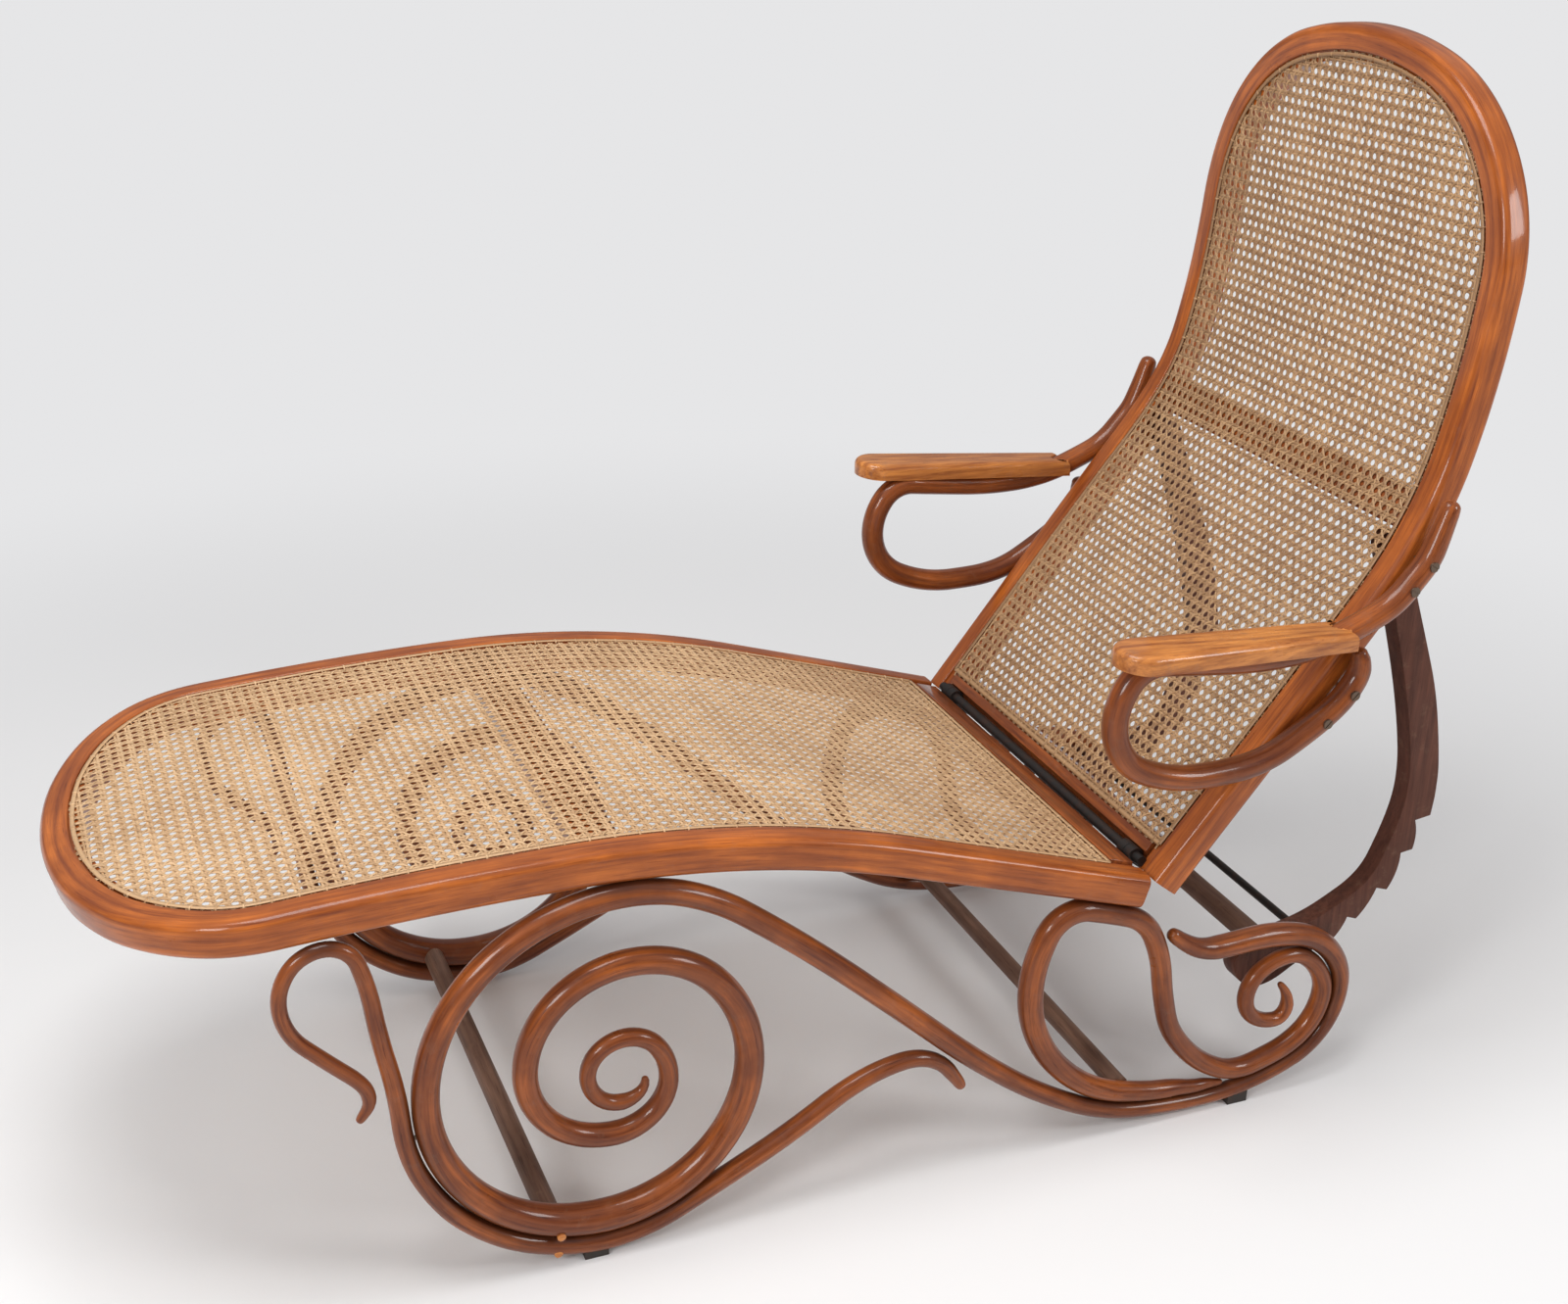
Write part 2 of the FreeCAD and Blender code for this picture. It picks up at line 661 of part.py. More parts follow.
# Screws that hold each arm to the back frame, with slotted heads on the outside
arm_y = -size("arm_plane")
arm_radius = size("arm_dia") / 2
ARM = moved([
    (307.0, 405.0, -108, 0.76 * arm_radius), (289.5, 351.0, -110, 0.96 * arm_radius),
    (260.5, 310.0, -131, arm_radius), (185.5, 268.5, -160, arm_radius), (112.0, 255.0, -178, arm_radius),
    (-32.0, 266.5, 173, arm_radius), (-85.0, 206.0, -90, arm_radius), (30.5, 127.0, 0, arm_radius),
    (92.5, 131.5, 12, arm_radius), (165.0, 167.0, 33, arm_radius), (204.5, 202.0, 55, 0.95 * arm_radius),
    (214.5, 225.0, 86, 0.9 * arm_radius), (210.5, 249.0, 106, 0.62 * arm_radius),
], hinge_x, hinge_z)
arm_rod = plain("arm_rod", bent_rod(ARM, arm_y))


def arm_screw(name, index, share):
    """A round-headed screw through the arm rod into the side of the back frame"""
    x, z, heading, thick = along(ARM, index, share)
    outside = arm_y - thick
    shank = Part.makeCylinder(size("screw_dia") / 2, size("screw_length"), V(x, outside, z), V(0, 1, 0))
    height = size("screw_head_height")
    head = Part.makeCylinder(size("screw_head_dia") / 2, height * 2.2, V(x, outside - height, z), V(0, 1, 0))
    wide = size("screw_head_dia") * 1.2
    slot = Part.makeBox(wide, 0.8, size("slot_width"))
    slot.translate(V(-wide / 2, 0, -size("slot_width") / 2))
    slot.rotate(V(0, 0, 0), V(0, 1, 0), 35 * index)
    slot.translate(V(x, outside - height, z))
    return plain(name, shank.fuse(head).cut(slot).removeSplitter())


screw_set = [
    arm_screw("arm_screw_a", 1, 0.3), arm_screw("arm_screw_b", 1, 0.95),
    arm_screw("arm_screw_c", 9, 0.15), arm_screw("arm_screw_d", 9, 0.95),
]
screw_tool = group("arm_screw_tool", screw_set)
node_pair(less("arm_loop", arm_rod, screw_tool), "arm_loop")
node_pair(group("arm_screws_set", screw_set), "arm_screws")

# Arm pads: flat shaped boards, hollowed underneath to fit the rod
PAD_FRONT = (hinge_x - 102.0, hinge_z + 279.7)
PAD_REAR = (hinge_x + 188.0, hinge_z + 259.2)
pad_front_y = arm_y - 18.5
pad_rear_y = arm_y - 4.0
wide_front = size("pad_front_width") / 2
wide_rear = size("pad_rear_width") / 2
pad_points = [
    plan(PAD_REAR[0], pad_rear_y - wide_rear), plan(PAD_FRONT[0] + 30, pad_front_y - wide_front),
    plan(PAD_FRONT[0], pad_front_y), plan(PAD_FRONT[0] + 30, pad_front_y + wide_front),
    plan(PAD_REAR[0], pad_rear_y + wide_rear),
]
pad_outline = [
    Part.LineSegment(pad_points[0], pad_points[1]).toShape(),
    Part.Arc(pad_points[1], pad_points[2], pad_points[3]).toShape(),
    Part.LineSegment(pad_points[3], pad_points[4]).toShape(),
    Part.LineSegment(pad_points[4], pad_points[0]).toShape(),
]
pad_plan = slab("pad_plan", Part.Face(Part.Wire(pad_outline)), V(0, 0, 1), 3000.0)
pad_slope = math.degrees(math.atan2(PAD_REAR[1] - PAD_FRONT[1], PAD_REAR[0] - PAD_FRONT[0]))
PAD_LINE = [(PAD_FRONT[0] - 10, PAD_FRONT[1] + 0.7, pad_slope), (PAD_REAR[0] + 10, PAD_REAR[1] - 0.7, pad_slope)]
pad_band = slab("pad_band", strip(PAD_LINE, 0.0, size("pad_thickness"), side), V(0, 1, 0), across)
pad_groove = plain("pad_groove", bent_rod(ARM, arm_y, size("pad_fit_gap")))
node_pair(less("arm_pad_body", common("arm_pad_block", pad_plan, pad_band), pad_groove), "arm_pad")

# Pins on which the two toothed bows swing
pivot_x = size("bow_pivot_x")
pivot_z = size("bow_pivot_z")
pin = round_bar("bow_pin", "Sizes.bow_pin_dia", "Sizes.bow_pin_length",
                ("Sizes.bow_pivot_x", "-Sizes.bow_outer_y + Sizes.bow_thickness - Sizes.bow_pin_length",
                 "Sizes.bow_pivot_z"), "y")
pin_hole = round_bar("bow_pin_hole", "Sizes.bow_pin_dia + 2 * Sizes.hinge_running_gap", "Sizes.bow_pin_length * 2",
                     ("Sizes.bow_pivot_x", "-Sizes.bow_outer_y - Sizes.bow_pin_length", "Sizes.bow_pivot_z"), "y")
pin_tool = round_bar("bow_pin_tool", "Sizes.bow_pin_dia", "Sizes.bow_pin_length",
                     ("Sizes.bow_pivot_x", "-Sizes.bow_outer_y + Sizes.bow_thickness - Sizes.bow_pin_length",
                      "Sizes.bow_pivot_z"), "y")
pin_tool_far = mirrored("bow_pin_tool_far", pin_tool)
screws_far = mirrored("arm_screws_far", screw_tool)

back_slab = common("back_frame_slab", back_outer, back_band("back_frame_band", -back_depth, 0.0))
back_frame = rounded("back_round", back_slab, size("rim_round"), V(1, 0, 0), lambda normal: normal.z > -0.7)
back_tools = group("back_rim_tools", [back_rebate, hinge_hollow, screw_tool, screws_far, pin_tool, pin_tool_far])
node(less("back_rim_body", less("back_ring", back_frame, back_inner), back_tools), "back_rim")
low_rail = common("back_low_a", common("back_low_b", back_inner, back_foot("back_low_zone", 0.0, rail_height)),
                  back_band("back_low_band", -back_depth + 6.0, 0.0))
node(less("back_bottom_rail_body", low_rail, group("back_low_tools", [back_rebate, hinge_hollow])),
     "back_bottom_rail")
cross_width = size("back_cross_rail_width")
rail_x, rail_z, rail_slope = at_height(BACK, 1, pivot_z + size("cross_rail_above_pin"))
cross = across_back("back_cross_zone", (rail_x, rail_z), rail_slope, -cross_width / 2, cross_width)
node(common("back_cross_rail_body", common("back_cross_a", back_inner, cross),
            back_band("back_cross_band", -rebate - size("back_cross_rail_depth"), -rebate)), "back_cross_rail")
node(less("back_cane_body", common("back_cane_a", back_panel,
                                   back_band("back_cane_band", -rebate, -rebate + size("cane_thickness"))),
          back_foot("back_cane_stop", -below_back, below_back + size("rim_width") + size("cane_gap"))), "back_cane")
node_pair(pin, "bow_pin")

# Toothed bow: a flat curved band that ends in hooked teeth under its lower bend
end_radius = size("bow_end_radius")
BOW_LINE = 108.6


def on_pivot(angle):
    c, s = unit(angle)
    return pivot_x + end_radius * c, pivot_z + end_radius * s


INNER = moved([
    (-52.0, -512.0, 207), (-101.0, -536.0, 192), (-147.0, -501.0, 95), (-125.0, -480.5, 14), (-19.0, -451.0, 27),
    (27.0, -422.0, 45), (52.0, -374.0, 70), (66.5, -304.0, 90), (54.0, -221.0, 103.5),
    (16.5, -95.0, BOW_LINE),
], pivot_x, pivot_z) + [(*on_pivot(BOW_LINE + 90), BOW_LINE)]
OUTER = [(*on_pivot(BOW_LINE - 90), BOW_LINE - 180)] + moved([
    (73.0, -150.0, -69), (106.0, -280.0, -81), (108.3, -319.0, -90), (106.0, -349.0, -95),
], pivot_x, pivot_z)
# each tooth: the inside of its notch, the swell of its side, its tip
TEETH = [
    ((85.0, -352.0), (89.0, -371.0), (87.0, -391.0)), ((71.0, -393.0), (69.0, -415.0), (58.0, -440.0)),
    ((43.0, -435.0), (33.0, -455.0), (19.0, -472.0)), ((6.0, -467.0), (-1.5, -482.5), (-15.0, -497.0)),
    ((-28.0, -492.0), (-38.5, -503.5), (-52.0, -512.0)),
]
bow_edges = edges(OUTER, 0.0, side)
tip_point = OUTER[-1][:2]
for notch, swell, point in [moved(tooth, pivot_x, pivot_z) for tooth in TEETH]:
    bow_edges.append(Part.LineSegment(side(*tip_point), side(*notch)).toShape())
    bow_edges.append(Part.Arc(side(*notch), side(*swell), side(*point)).toShape())
    tip_point = point
bow_edges += edges(INNER, 0.0, side)
bow_edges.append(Part.Arc(side(*on_pivot(BOW_LINE + 90)), side(*on_pivot(BOW_LINE)),
                          side(*on_pivot(BOW_LINE - 90))).toShape())
bow_face = Part.Face(Part.Wire(Part.__sortEdges__(bow_edges)))
bow_face.translate(V(0, -size("bow_outer_y"), 0))
bow_slab = doc.addObject("Part::Extrusion", "bow_slab")
bow_slab.Base = plain("bow_face", bow_face)
bow_slab.DirMode = "Custom"
bow_slab.Dir = V(0, 1, 0)
bow_slab.setExpression("LengthFwd", "Sizes.bow_thickness")
bow_slab.Solid = True
node_pair(less("bow_body", bow_slab, pin_hole), "bow")
node(round_bar("bow_cross_bar_body", "Sizes.bow_bar_dia", "2 * (Sizes.bow_outer_y - Sizes.bow_thickness)",
               ("Sizes.bow_bar_x", "-Sizes.bow_outer_y + Sizes.bow_thickness", "Sizes.bow_bar_z"), "y"),
     "bow_cross_bar")

# Hinge: a rod through a pair of eyes on each side, one leaf on the seat rail, one under the back rail
node(round_bar("hinge_rod_body", "Sizes.hinge_rod_dia", "2 * Sizes.hinge_rod_half",
               ("Sizes.hinge_x", "-Sizes.hinge_rod_half", "Sizes.hinge_z"), "y"), "hinge_rod")
leaf_width = size("hinge_leaf_width") / 2 - 0.3
leaf_thick = size("hinge_leaf_thickness")
leaf_length = size("hinge_leaf_length")
centre_y = -size("hinge_centre_y")
down = unit(BACK[0][2] - 90)
out = (-base_line[0] * leaf_thick, -base_line[1] * leaf_thick)
a = (back_base[0] + down[0], back_base[1] + down[1])
b = (back_base[0] + leaf_length * down[0], back_base[1] + leaf_length * down[1])
seat_leaf = [(seat_end, hinge_z - leaf_length), (seat_end + leaf_thick, hinge_z - leaf_length),
             (seat_end + leaf_thick, hinge_z), (seat_end, hinge_z)]
back_leaf = [a, b, (b[0] + out[0], b[1] + out[1]), (a[0] + out[0], a[1] + out[1])]
for label, corners, start_y, bore in (("seat_hinge", seat_leaf, centre_y - leaf_width - 0.3, 0.0),
                                      ("back_hinge", back_leaf, centre_y + 0.3, size("hinge_running_gap"))):
    face = outline(corners, side)
    face.translate(V(0, start_y, 0))
    leaf = face.extrude(V(0, leaf_width, 0))
    barrel = Part.makeCylinder(size("hinge_barrel_dia") / 2, leaf_width, V(hinge_x, start_y, hinge_z), V(0, 1, 0))
    hole = Part.makeCylinder(size("hinge_rod_dia") / 2 + bore, leaf_width, V(hinge_x, start_y, hinge_z), V(0, 1, 0))
    node_pair(plain(label, leaf.fuse(barrel).cut(hole).removeSplitter()), label)

doc.recompute()
for obj in doc.Objects:
    if "Invalid" in obj.State or "Error" in obj.State:
        raise RuntimeError("failed object: %s %s" % (obj.Name, obj.State))
for obj in nodes:
    shape = obj.Shape
    if shape.isNull() or not shape.isValid() or not shape.Solids:
        raise RuntimeError("bad shape: " + obj.Label)
for obj in nodes:
    obj.Shape.exportStep("parts/%s.step" % obj.Label)
    print(obj.Label, len(obj.Shape.Solids), round(obj.Shape.Volume))
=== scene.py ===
import math
import random

import bmesh
import bpy
import numpy as np
from mathutils import Matrix, Vector


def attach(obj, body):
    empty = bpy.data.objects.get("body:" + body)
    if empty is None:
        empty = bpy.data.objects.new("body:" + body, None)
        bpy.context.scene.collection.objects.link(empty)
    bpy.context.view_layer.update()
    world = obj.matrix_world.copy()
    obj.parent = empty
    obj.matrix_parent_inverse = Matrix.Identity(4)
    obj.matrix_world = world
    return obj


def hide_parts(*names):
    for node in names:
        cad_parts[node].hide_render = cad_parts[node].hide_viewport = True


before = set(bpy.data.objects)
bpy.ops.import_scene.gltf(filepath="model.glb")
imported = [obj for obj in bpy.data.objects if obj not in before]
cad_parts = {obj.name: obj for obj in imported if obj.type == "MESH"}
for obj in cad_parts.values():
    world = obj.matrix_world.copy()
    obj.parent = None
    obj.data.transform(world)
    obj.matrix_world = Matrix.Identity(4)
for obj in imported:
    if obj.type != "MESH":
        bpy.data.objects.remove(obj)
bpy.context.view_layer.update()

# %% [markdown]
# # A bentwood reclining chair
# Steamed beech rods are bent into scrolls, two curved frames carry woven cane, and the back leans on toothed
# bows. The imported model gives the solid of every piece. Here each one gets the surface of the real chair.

MM = 0.001
ORIGIN_X = 328.15
random.seed(7)
SIDES = {"left": -1.0, "right": 1.0}


def spot(x, y, z):
    """Millimetres from the front stretcher's upright plane, turned into the model's metres."""
    return (x - ORIGIN_X) * MM, y * MM, z * MM


# %% [markdown]
# ## Bends
# A bent rod is a chain of arcs that flow into each other. A bend point gives x, z, the heading in degrees and
# the radius of the rod there. Between two bend points there is always a pair of arcs that meets both headings.


# %% Chains of arcs
def unit(degrees):
    turn = math.radians(degrees)
    return math.cos(turn), math.sin(turn)


def two_arcs(a, b):
    """Place and heading where the pair of arcs between two bends joins"""
    ta, tb = unit(a[2]), unit(b[2])
    vx, vz = b[0] - a[0], b[1] - a[1]
    square = 2 * (1 - (ta[0] * tb[0] + ta[1] * tb[1]))
    linear = 2 * (vx * (ta[0] + tb[0]) + vz * (ta[1] + tb[1]))
    plain = -(vx * vx + vz * vz)
    if abs(square) < 1e-9:
        reach = -plain / linear
    else:
        reach = (-linear + math.sqrt(linear * linear - 4 * square * plain)) / (2 * square)
    qa = (a[0] + reach * ta[0], a[1] + reach * ta[1])
    qb = (b[0] - reach * tb[0], b[1] - reach * tb[1])
    return (qa[0] + qb[0]) / 2, (qa[1] + qb[1]) / 2, math.degrees(math.atan2(qb[1] - qa[1], qb[0] - qa[0]))


def arc_point(start, heading, end, share):
    t = unit(heading)
    vx, vz = end[0] - start[0], end[1] - start[1]
    turn = 2 * math.degrees(math.atan2(t[0] * vz - t[1] * vx, t[0] * vx + t[1] * vz))
    if abs(turn) < 1e-4:
        return start[0] + share * vx, start[1] + share * vz, heading
    radius = math.hypot(vx, vz) / (2 * math.sin(math.radians(turn / 2)))
    cx, cz = start[0] - radius * t[1], start[1] + radius * t[0]
    c, s = unit(turn * share)
    dx, dz = start[0] - cx, start[1] - cz
    return cx + dx * c - dz * s, cz + dx * s + dz * c, heading + turn * share


def stretch_point(a, b, share):
    """Place, heading and radius part of the way from bend a to bend b"""
    mx, mz, mid = two_arcs(a, b)
    ra, rb = (a[3], b[3]) if len(a) > 3 else (0, 0)
    middle = (ra + rb) / 2
    if share < 0.5:
        x, z, h = arc_point(a[:2], a[2], (mx, mz), share * 2)
        return x, z, h, ra + (middle - ra) * share * 2
    x, z, h = arc_point((mx, mz), mid, b[:2], share * 2 - 1)
    return x, z, h, middle + (rb - middle) * (share * 2 - 1)


def along(bends, index, share):
    return stretch_point(bends[index], bends[index + 1], share)


def shifted(x, z, heading, reach):
    """The place at a distance to the left of a heading"""
    c, s = unit(heading)
    return x - reach * s, z + reach * c


def beside(bends, index, share, radius, gap):
    """Lies against the left of another rod and runs the other way"""
    x, z, heading, thick = along(bends, index, share)
    return (*shifted(x, z, heading, thick + radius + gap), heading + 180, radius)


def within(bends, index, share, radius, gap):
    """Lies against the left of another rod and runs the same way"""
    x, z, heading, thick = along(bends, index, share)
    return (*shifted(x, z, heading, thick + radius + gap), heading, radius)


def chain(bends, step):
    """Points about a step apart along the whole chain, as an array of x, z, heading and radius"""
    out = []
    for a, b in zip(bends, bends[1:]):
        rough = math.dist(a[:2], b[:2]) * 1.2
        count = max(4, 2 * math.ceil(rough / step / 2))
        for i in range(count + 1):
            if out and i == 0:
                continue
            out.append(stretch_point(a, b, i / count))
    return np.array(out)


# %% [markdown]
# ## The chair's own curves
# These are the same bend points as in the solid model: the seat's side curve, the back's side curve, the three
# strands of each runner and the arm loop. A strand that hugs another one takes its place from it.

# %% Seat curve and back curve
SEAT_TOP = 476.0
SEAT_DEPTH = 38.0
BACK_DEPTH = 37.0
RIM_WIDTH = 30.0
LEDGE_WIDTH = 12.0
REBATE = 4.0
HINGE = (694.0, 331.0)
SEAT = [(-443.0, SEAT_TOP - 41.3, 14.9), (-300.0, SEAT_TOP - 15.3, 5.0), (50.0, SEAT_TOP, 0.0),
        (400.0, SEAT_TOP - 54.0, -17.5), (740.0, SEAT_TOP - 161.2, -17.5)]
BACK = [(690.3, 325.0, 52.0), (935.0, 638.2, 52.0), (1012.0, 785.6, 76.0), (1043.0, 1040.0, 89.0),
        (1043.8, 1215.0, 90.4)]


def below_seat(index, share, radius):
    x, z, heading, _ = along(SEAT, index, share)
    return (*shifted(x, z, heading, -(SEAT_DEPTH + 0.3 + radius)), heading, radius)


# %% Strands and arms
GAP = 1.2
m, f, r, q = 12.5, 11.0, 12.25, 14.0
MAIN = [
    (106.6, 207.0, -75, 0.29 * m), (82.8, 182.2, 180, 0.68 * m), (46.6, 220.5, 90, 0.69 * m),
    (85.9, 258.2, 0, 0.77 * m), (132.5, 201.8, -90, 0.83 * m), (74.5, 145.9, 180, 1.01 * m),
    (-17.6, 237.0, 90, 1.04 * m), (93.2, 345.2, 0, 1.14 * m), (221.0, 203.9, -90, 1.26 * m),
    (62.1, 46.1, 180, 1.39 * m), (-118.0, 226.7, 90, 1.14 * m), below_seat(2, 0.13, 1.08 * m),
    (212.2, 377.8, -37, 1.04 * m), (445.1, 174.9, -43, 0.99 * m), (621.0, 45.5, -27, 0.88 * m),
    (786.6, 14.5, 0, 0.76 * m), (964.6, 129.4, 90, 0.88 * m), (940.8, 185.3, 133, 1.04 * m),
    (843.5, 219.4, 180, 1.13 * m), (786.6, 217.4, 180, 1.09 * m), (722.0, 250.5, 136, 0.64 * m),
]
FOOT = [
    (-184.2, 223.6, 50, 0.38 * f), (-171.8, 249.4, 95, 0.66 * f), (-188.4, 278.4, 135, 0.7 * f),
    (-248.4, 369.5, 90, 0.7 * f), below_seat(1, 0.26, 0.7 * f), (-162.5, 348.8, -83, 0.8 * f),
    beside(MAIN, 9, 0.96, 0.88 * f, GAP), beside(MAIN, 9, 0.72, 0.92 * f, GAP),
    beside(MAIN, 9, 0.5, 0.98 * f, GAP),
    beside(MAIN, 9, 0.22, 1.03 * f, GAP), beside(MAIN, 9, 0.0, 1.06 * f, GAP),
    beside(MAIN, 8, 0.72, 1.03 * f, GAP),
    (310.5, 123.2, 33, 1.0 * f), (398.5, 156.3, 6, 0.9 * f), (455.4, 130.4, -55, 0.77 * f),
    (472.0, 104.5, -65, 0.56 * f),
]
REAR = [
    beside(MAIN, 15, 0.12, 0.3 * r, GAP), beside(MAIN, 15, 0.0, 0.6 * r, GAP),
    beside(MAIN, 14, 0.7, 0.88 * r, GAP), beside(MAIN, 14, 0.3, 1.01 * r, GAP),
    (579.6, 119.0, 126, 1.12 * r), (549.6, 209.1, 90, 1.17 * r), below_seat(3, 0.68, 1.06 * r),
    (699.7, 250.5, -64, 0.97 * r), (727.6, 141.8, -75, 0.96 * r), (766.0, 80.0, -45, 0.97 * r),
    within(MAIN, 15, 0.3, 0.99 * r, GAP), within(MAIN, 15, 0.6, 0.98 * r, GAP),
    within(MAIN, 15, 0.98, 0.95 * r, GAP), within(MAIN, 16, 0.8, 0.88 * r, GAP),
    (888.0, 186.0, 180, 0.79 * r), (834.2, 139.7, -90, 0.81 * r), (877.7, 101.4, 0, 0.72 * r),
    (893.2, 119.0, 90, 0.66 * r), (878.7, 150.1, 135, 0.29 * r),
]
ARM = [
    (1001.0, 736.0, -108, 0.76 * q), (983.5, 682.0, -110, 0.96 * q), (954.5, 641.0, -131, q),
    (879.5, 599.5, -160, q), (806.0, 586.0, -178, q), (662.0, 597.5, 173, q), (609.0, 537.0, -90, q),
    (724.5, 458.0, 0, q), (786.5, 462.5, 12, q), (859.0, 498.0, 33, q), (898.5, 533.0, 55, 0.95 * q),
    (908.5, 556.0, 86, 0.9 * q), (904.5, 580.0, 106, 0.62 * q),
]

# %% [markdown]
# ## Finishes
# The beech is French polished: a red brown stain with darker growth streaks along each rod, gloss where hands
# have rubbed it and dull, darker patches where they haven't. One node group makes that grain for every wood,
# and each wood sets its own colours. Bent pieces carry an attribute called grain, in which the rod is straight,
# so the streaks follow the bends. One more attribute darkens the corners where rods touch and the rods under
# the seat frame: painted shade.


# %% Small helpers for node trees
def add(tree, kind, inputs=None, **settings):
    node = tree.nodes.new(kind)
    for key, value in settings.items():
        setattr(node, key, value)
    for key, value in (inputs or {}).items():
        if isinstance(value, bpy.types.NodeSocket):
            tree.links.new(value, node.inputs[key])
        else:
            node.inputs[key].default_value = value
    return node


def ramp(tree, value, stops):
    node = add(tree, "ShaderNodeValToRGB", {"Fac": value})
    while len(node.color_ramp.elements) < len(stops):
        node.color_ramp.elements.new(0.5)
    for element, (place, colour) in zip(node.color_ramp.elements, stops):
        element.position = place
        element.color = (*colour, 1)
    return node.outputs["Color"]


def mix(tree, share, a, b, blend="MIX"):
    node = add(tree, "ShaderNodeMix", data_type="RGBA", blend_type=blend)
    colours = [socket for socket in node.inputs if socket.type == "RGBA"]
    for socket, value in ((node.inputs["Factor"], share), (colours[0], a), (colours[1], b)):
        if isinstance(value, bpy.types.NodeSocket):
            tree.links.new(value, socket)
        elif socket.type == "RGBA":
            socket.default_value = (*value, 1)
        else:
            socket.default_value = value
    return [socket for socket in node.outputs if socket.type == "RGBA"][0]


def maths(tree, operation, a, b=0.0, clamp=False):
    return add(tree, "ShaderNodeMath", {0: a, 1: b}, operation=operation, use_clamp=clamp).outputs[0]


# %% Shared group: grain of a polished wood
def make_grain_group():
    group = bpy.data.node_groups.new("Polished wood grain", "ShaderNodeTree")
    sockets = (("Vector", "NodeSocketVector", None), ("Light", "NodeSocketColor", (0.5, 0.2, 0.08, 1)),
               ("Dark", "NodeSocketColor", (0.15, 0.05, 0.03, 1)), ("Stain", "NodeSocketFloat", 0.5),
               ("Wear", "NodeSocketFloat", 0.3))
    for name, kind, value in sockets:
        socket = group.interface.new_socket(name=name, in_out="INPUT", socket_type=kind)
        if value is not None:
            socket.default_value = value
    for name, kind in (("Color", "NodeSocketColor"), ("Roughness", "NodeSocketFloat"),
                       ("Height", "NodeSocketFloat")):
        group.interface.new_socket(name=name, in_out="OUTPUT", socket_type=kind)
    start = group.nodes.new("NodeGroupInput")
    end = group.nodes.new("NodeGroupOutput")
    vector = start.outputs["Vector"]
    stretched = add(group, "ShaderNodeMapping", {"Vector": vector, "Scale": (5.0, 90.0, 90.0)}).outputs[0]
    streaks = add(group, "ShaderNodeTexNoise", {"Vector": stretched, "Scale": 1.6, "Detail": 6.0,
                                                "Roughness": 0.62}).outputs["Fac"]
    pores = add(group, "ShaderNodeMapping", {"Vector": vector, "Scale": (30.0, 700.0, 700.0)}).outputs[0]
    flecks = add(group, "ShaderNodeTexNoise", {"Vector": pores, "Scale": 1.0, "Detail": 3.0}).outputs["Fac"]
    patches = add(group, "ShaderNodeTexNoise", {"Vector": vector, "Scale": 9.0, "Detail": 4.0,
                                                "Roughness": 0.55}).outputs["Fac"]
    smudges = add(group, "ShaderNodeTexNoise", {"Vector": vector, "Scale": 60.0, "Detail": 5.0,
                                                "Roughness": 0.7}).outputs["Fac"]
    share = ramp(group, streaks, [(0.33, (0, 0, 0)), (0.66, (1, 1, 1))])
    colour = mix(group, share, start.outputs["Dark"], start.outputs["Light"])
    dark_patch = ramp(group, patches, [(0.42, (1, 1, 1)), (0.62, (0, 0, 0))])
    shade = maths(group, "MULTIPLY", dark_patch, start.outputs["Stain"])
    colour = mix(group, shade, colour, start.outputs["Dark"])
    fleck_share = ramp(group, flecks, [(0.60, (0, 0, 0)), (0.72, (1, 1, 1))])
    colour = mix(group, maths(group, "MULTIPLY", fleck_share, 0.5), colour, start.outputs["Dark"], "MULTIPLY")
    worn = ramp(group, smudges, [(0.56, (0, 0, 0)), (0.70, (1, 1, 1))])
    worn_share = maths(group, "MULTIPLY", worn, start.outputs["Wear"])
    colour = mix(group, worn_share, colour, (0.20, 0.12, 0.08))
    group.links.new(colour, end.inputs["Color"])
    dull = maths(group, "MULTIPLY", dark_patch, 0.16)
    rough = maths(group, "ADD", dull, maths(group, "MULTIPLY", worn_share, 0.4))
    rough = maths(group, "ADD", rough, maths(group, "MULTIPLY", smudges, 0.08))
    group.links.new(rough, end.inputs["Roughness"])
    height = maths(group, "SUBTRACT", streaks, maths(group, "MULTIPLY", fleck_share, 0.4))
    group.links.new(height, end.inputs["Height"])
    return group


GRAIN = make_grain_group()


# %% Woods
GRAIN_RELIEF = 0.4 * MM
# How dark the painted shade in the corners where pieces touch gets, as a share of each wood's dark colour
CONTACT_SHADE_DEPTH = 0.30


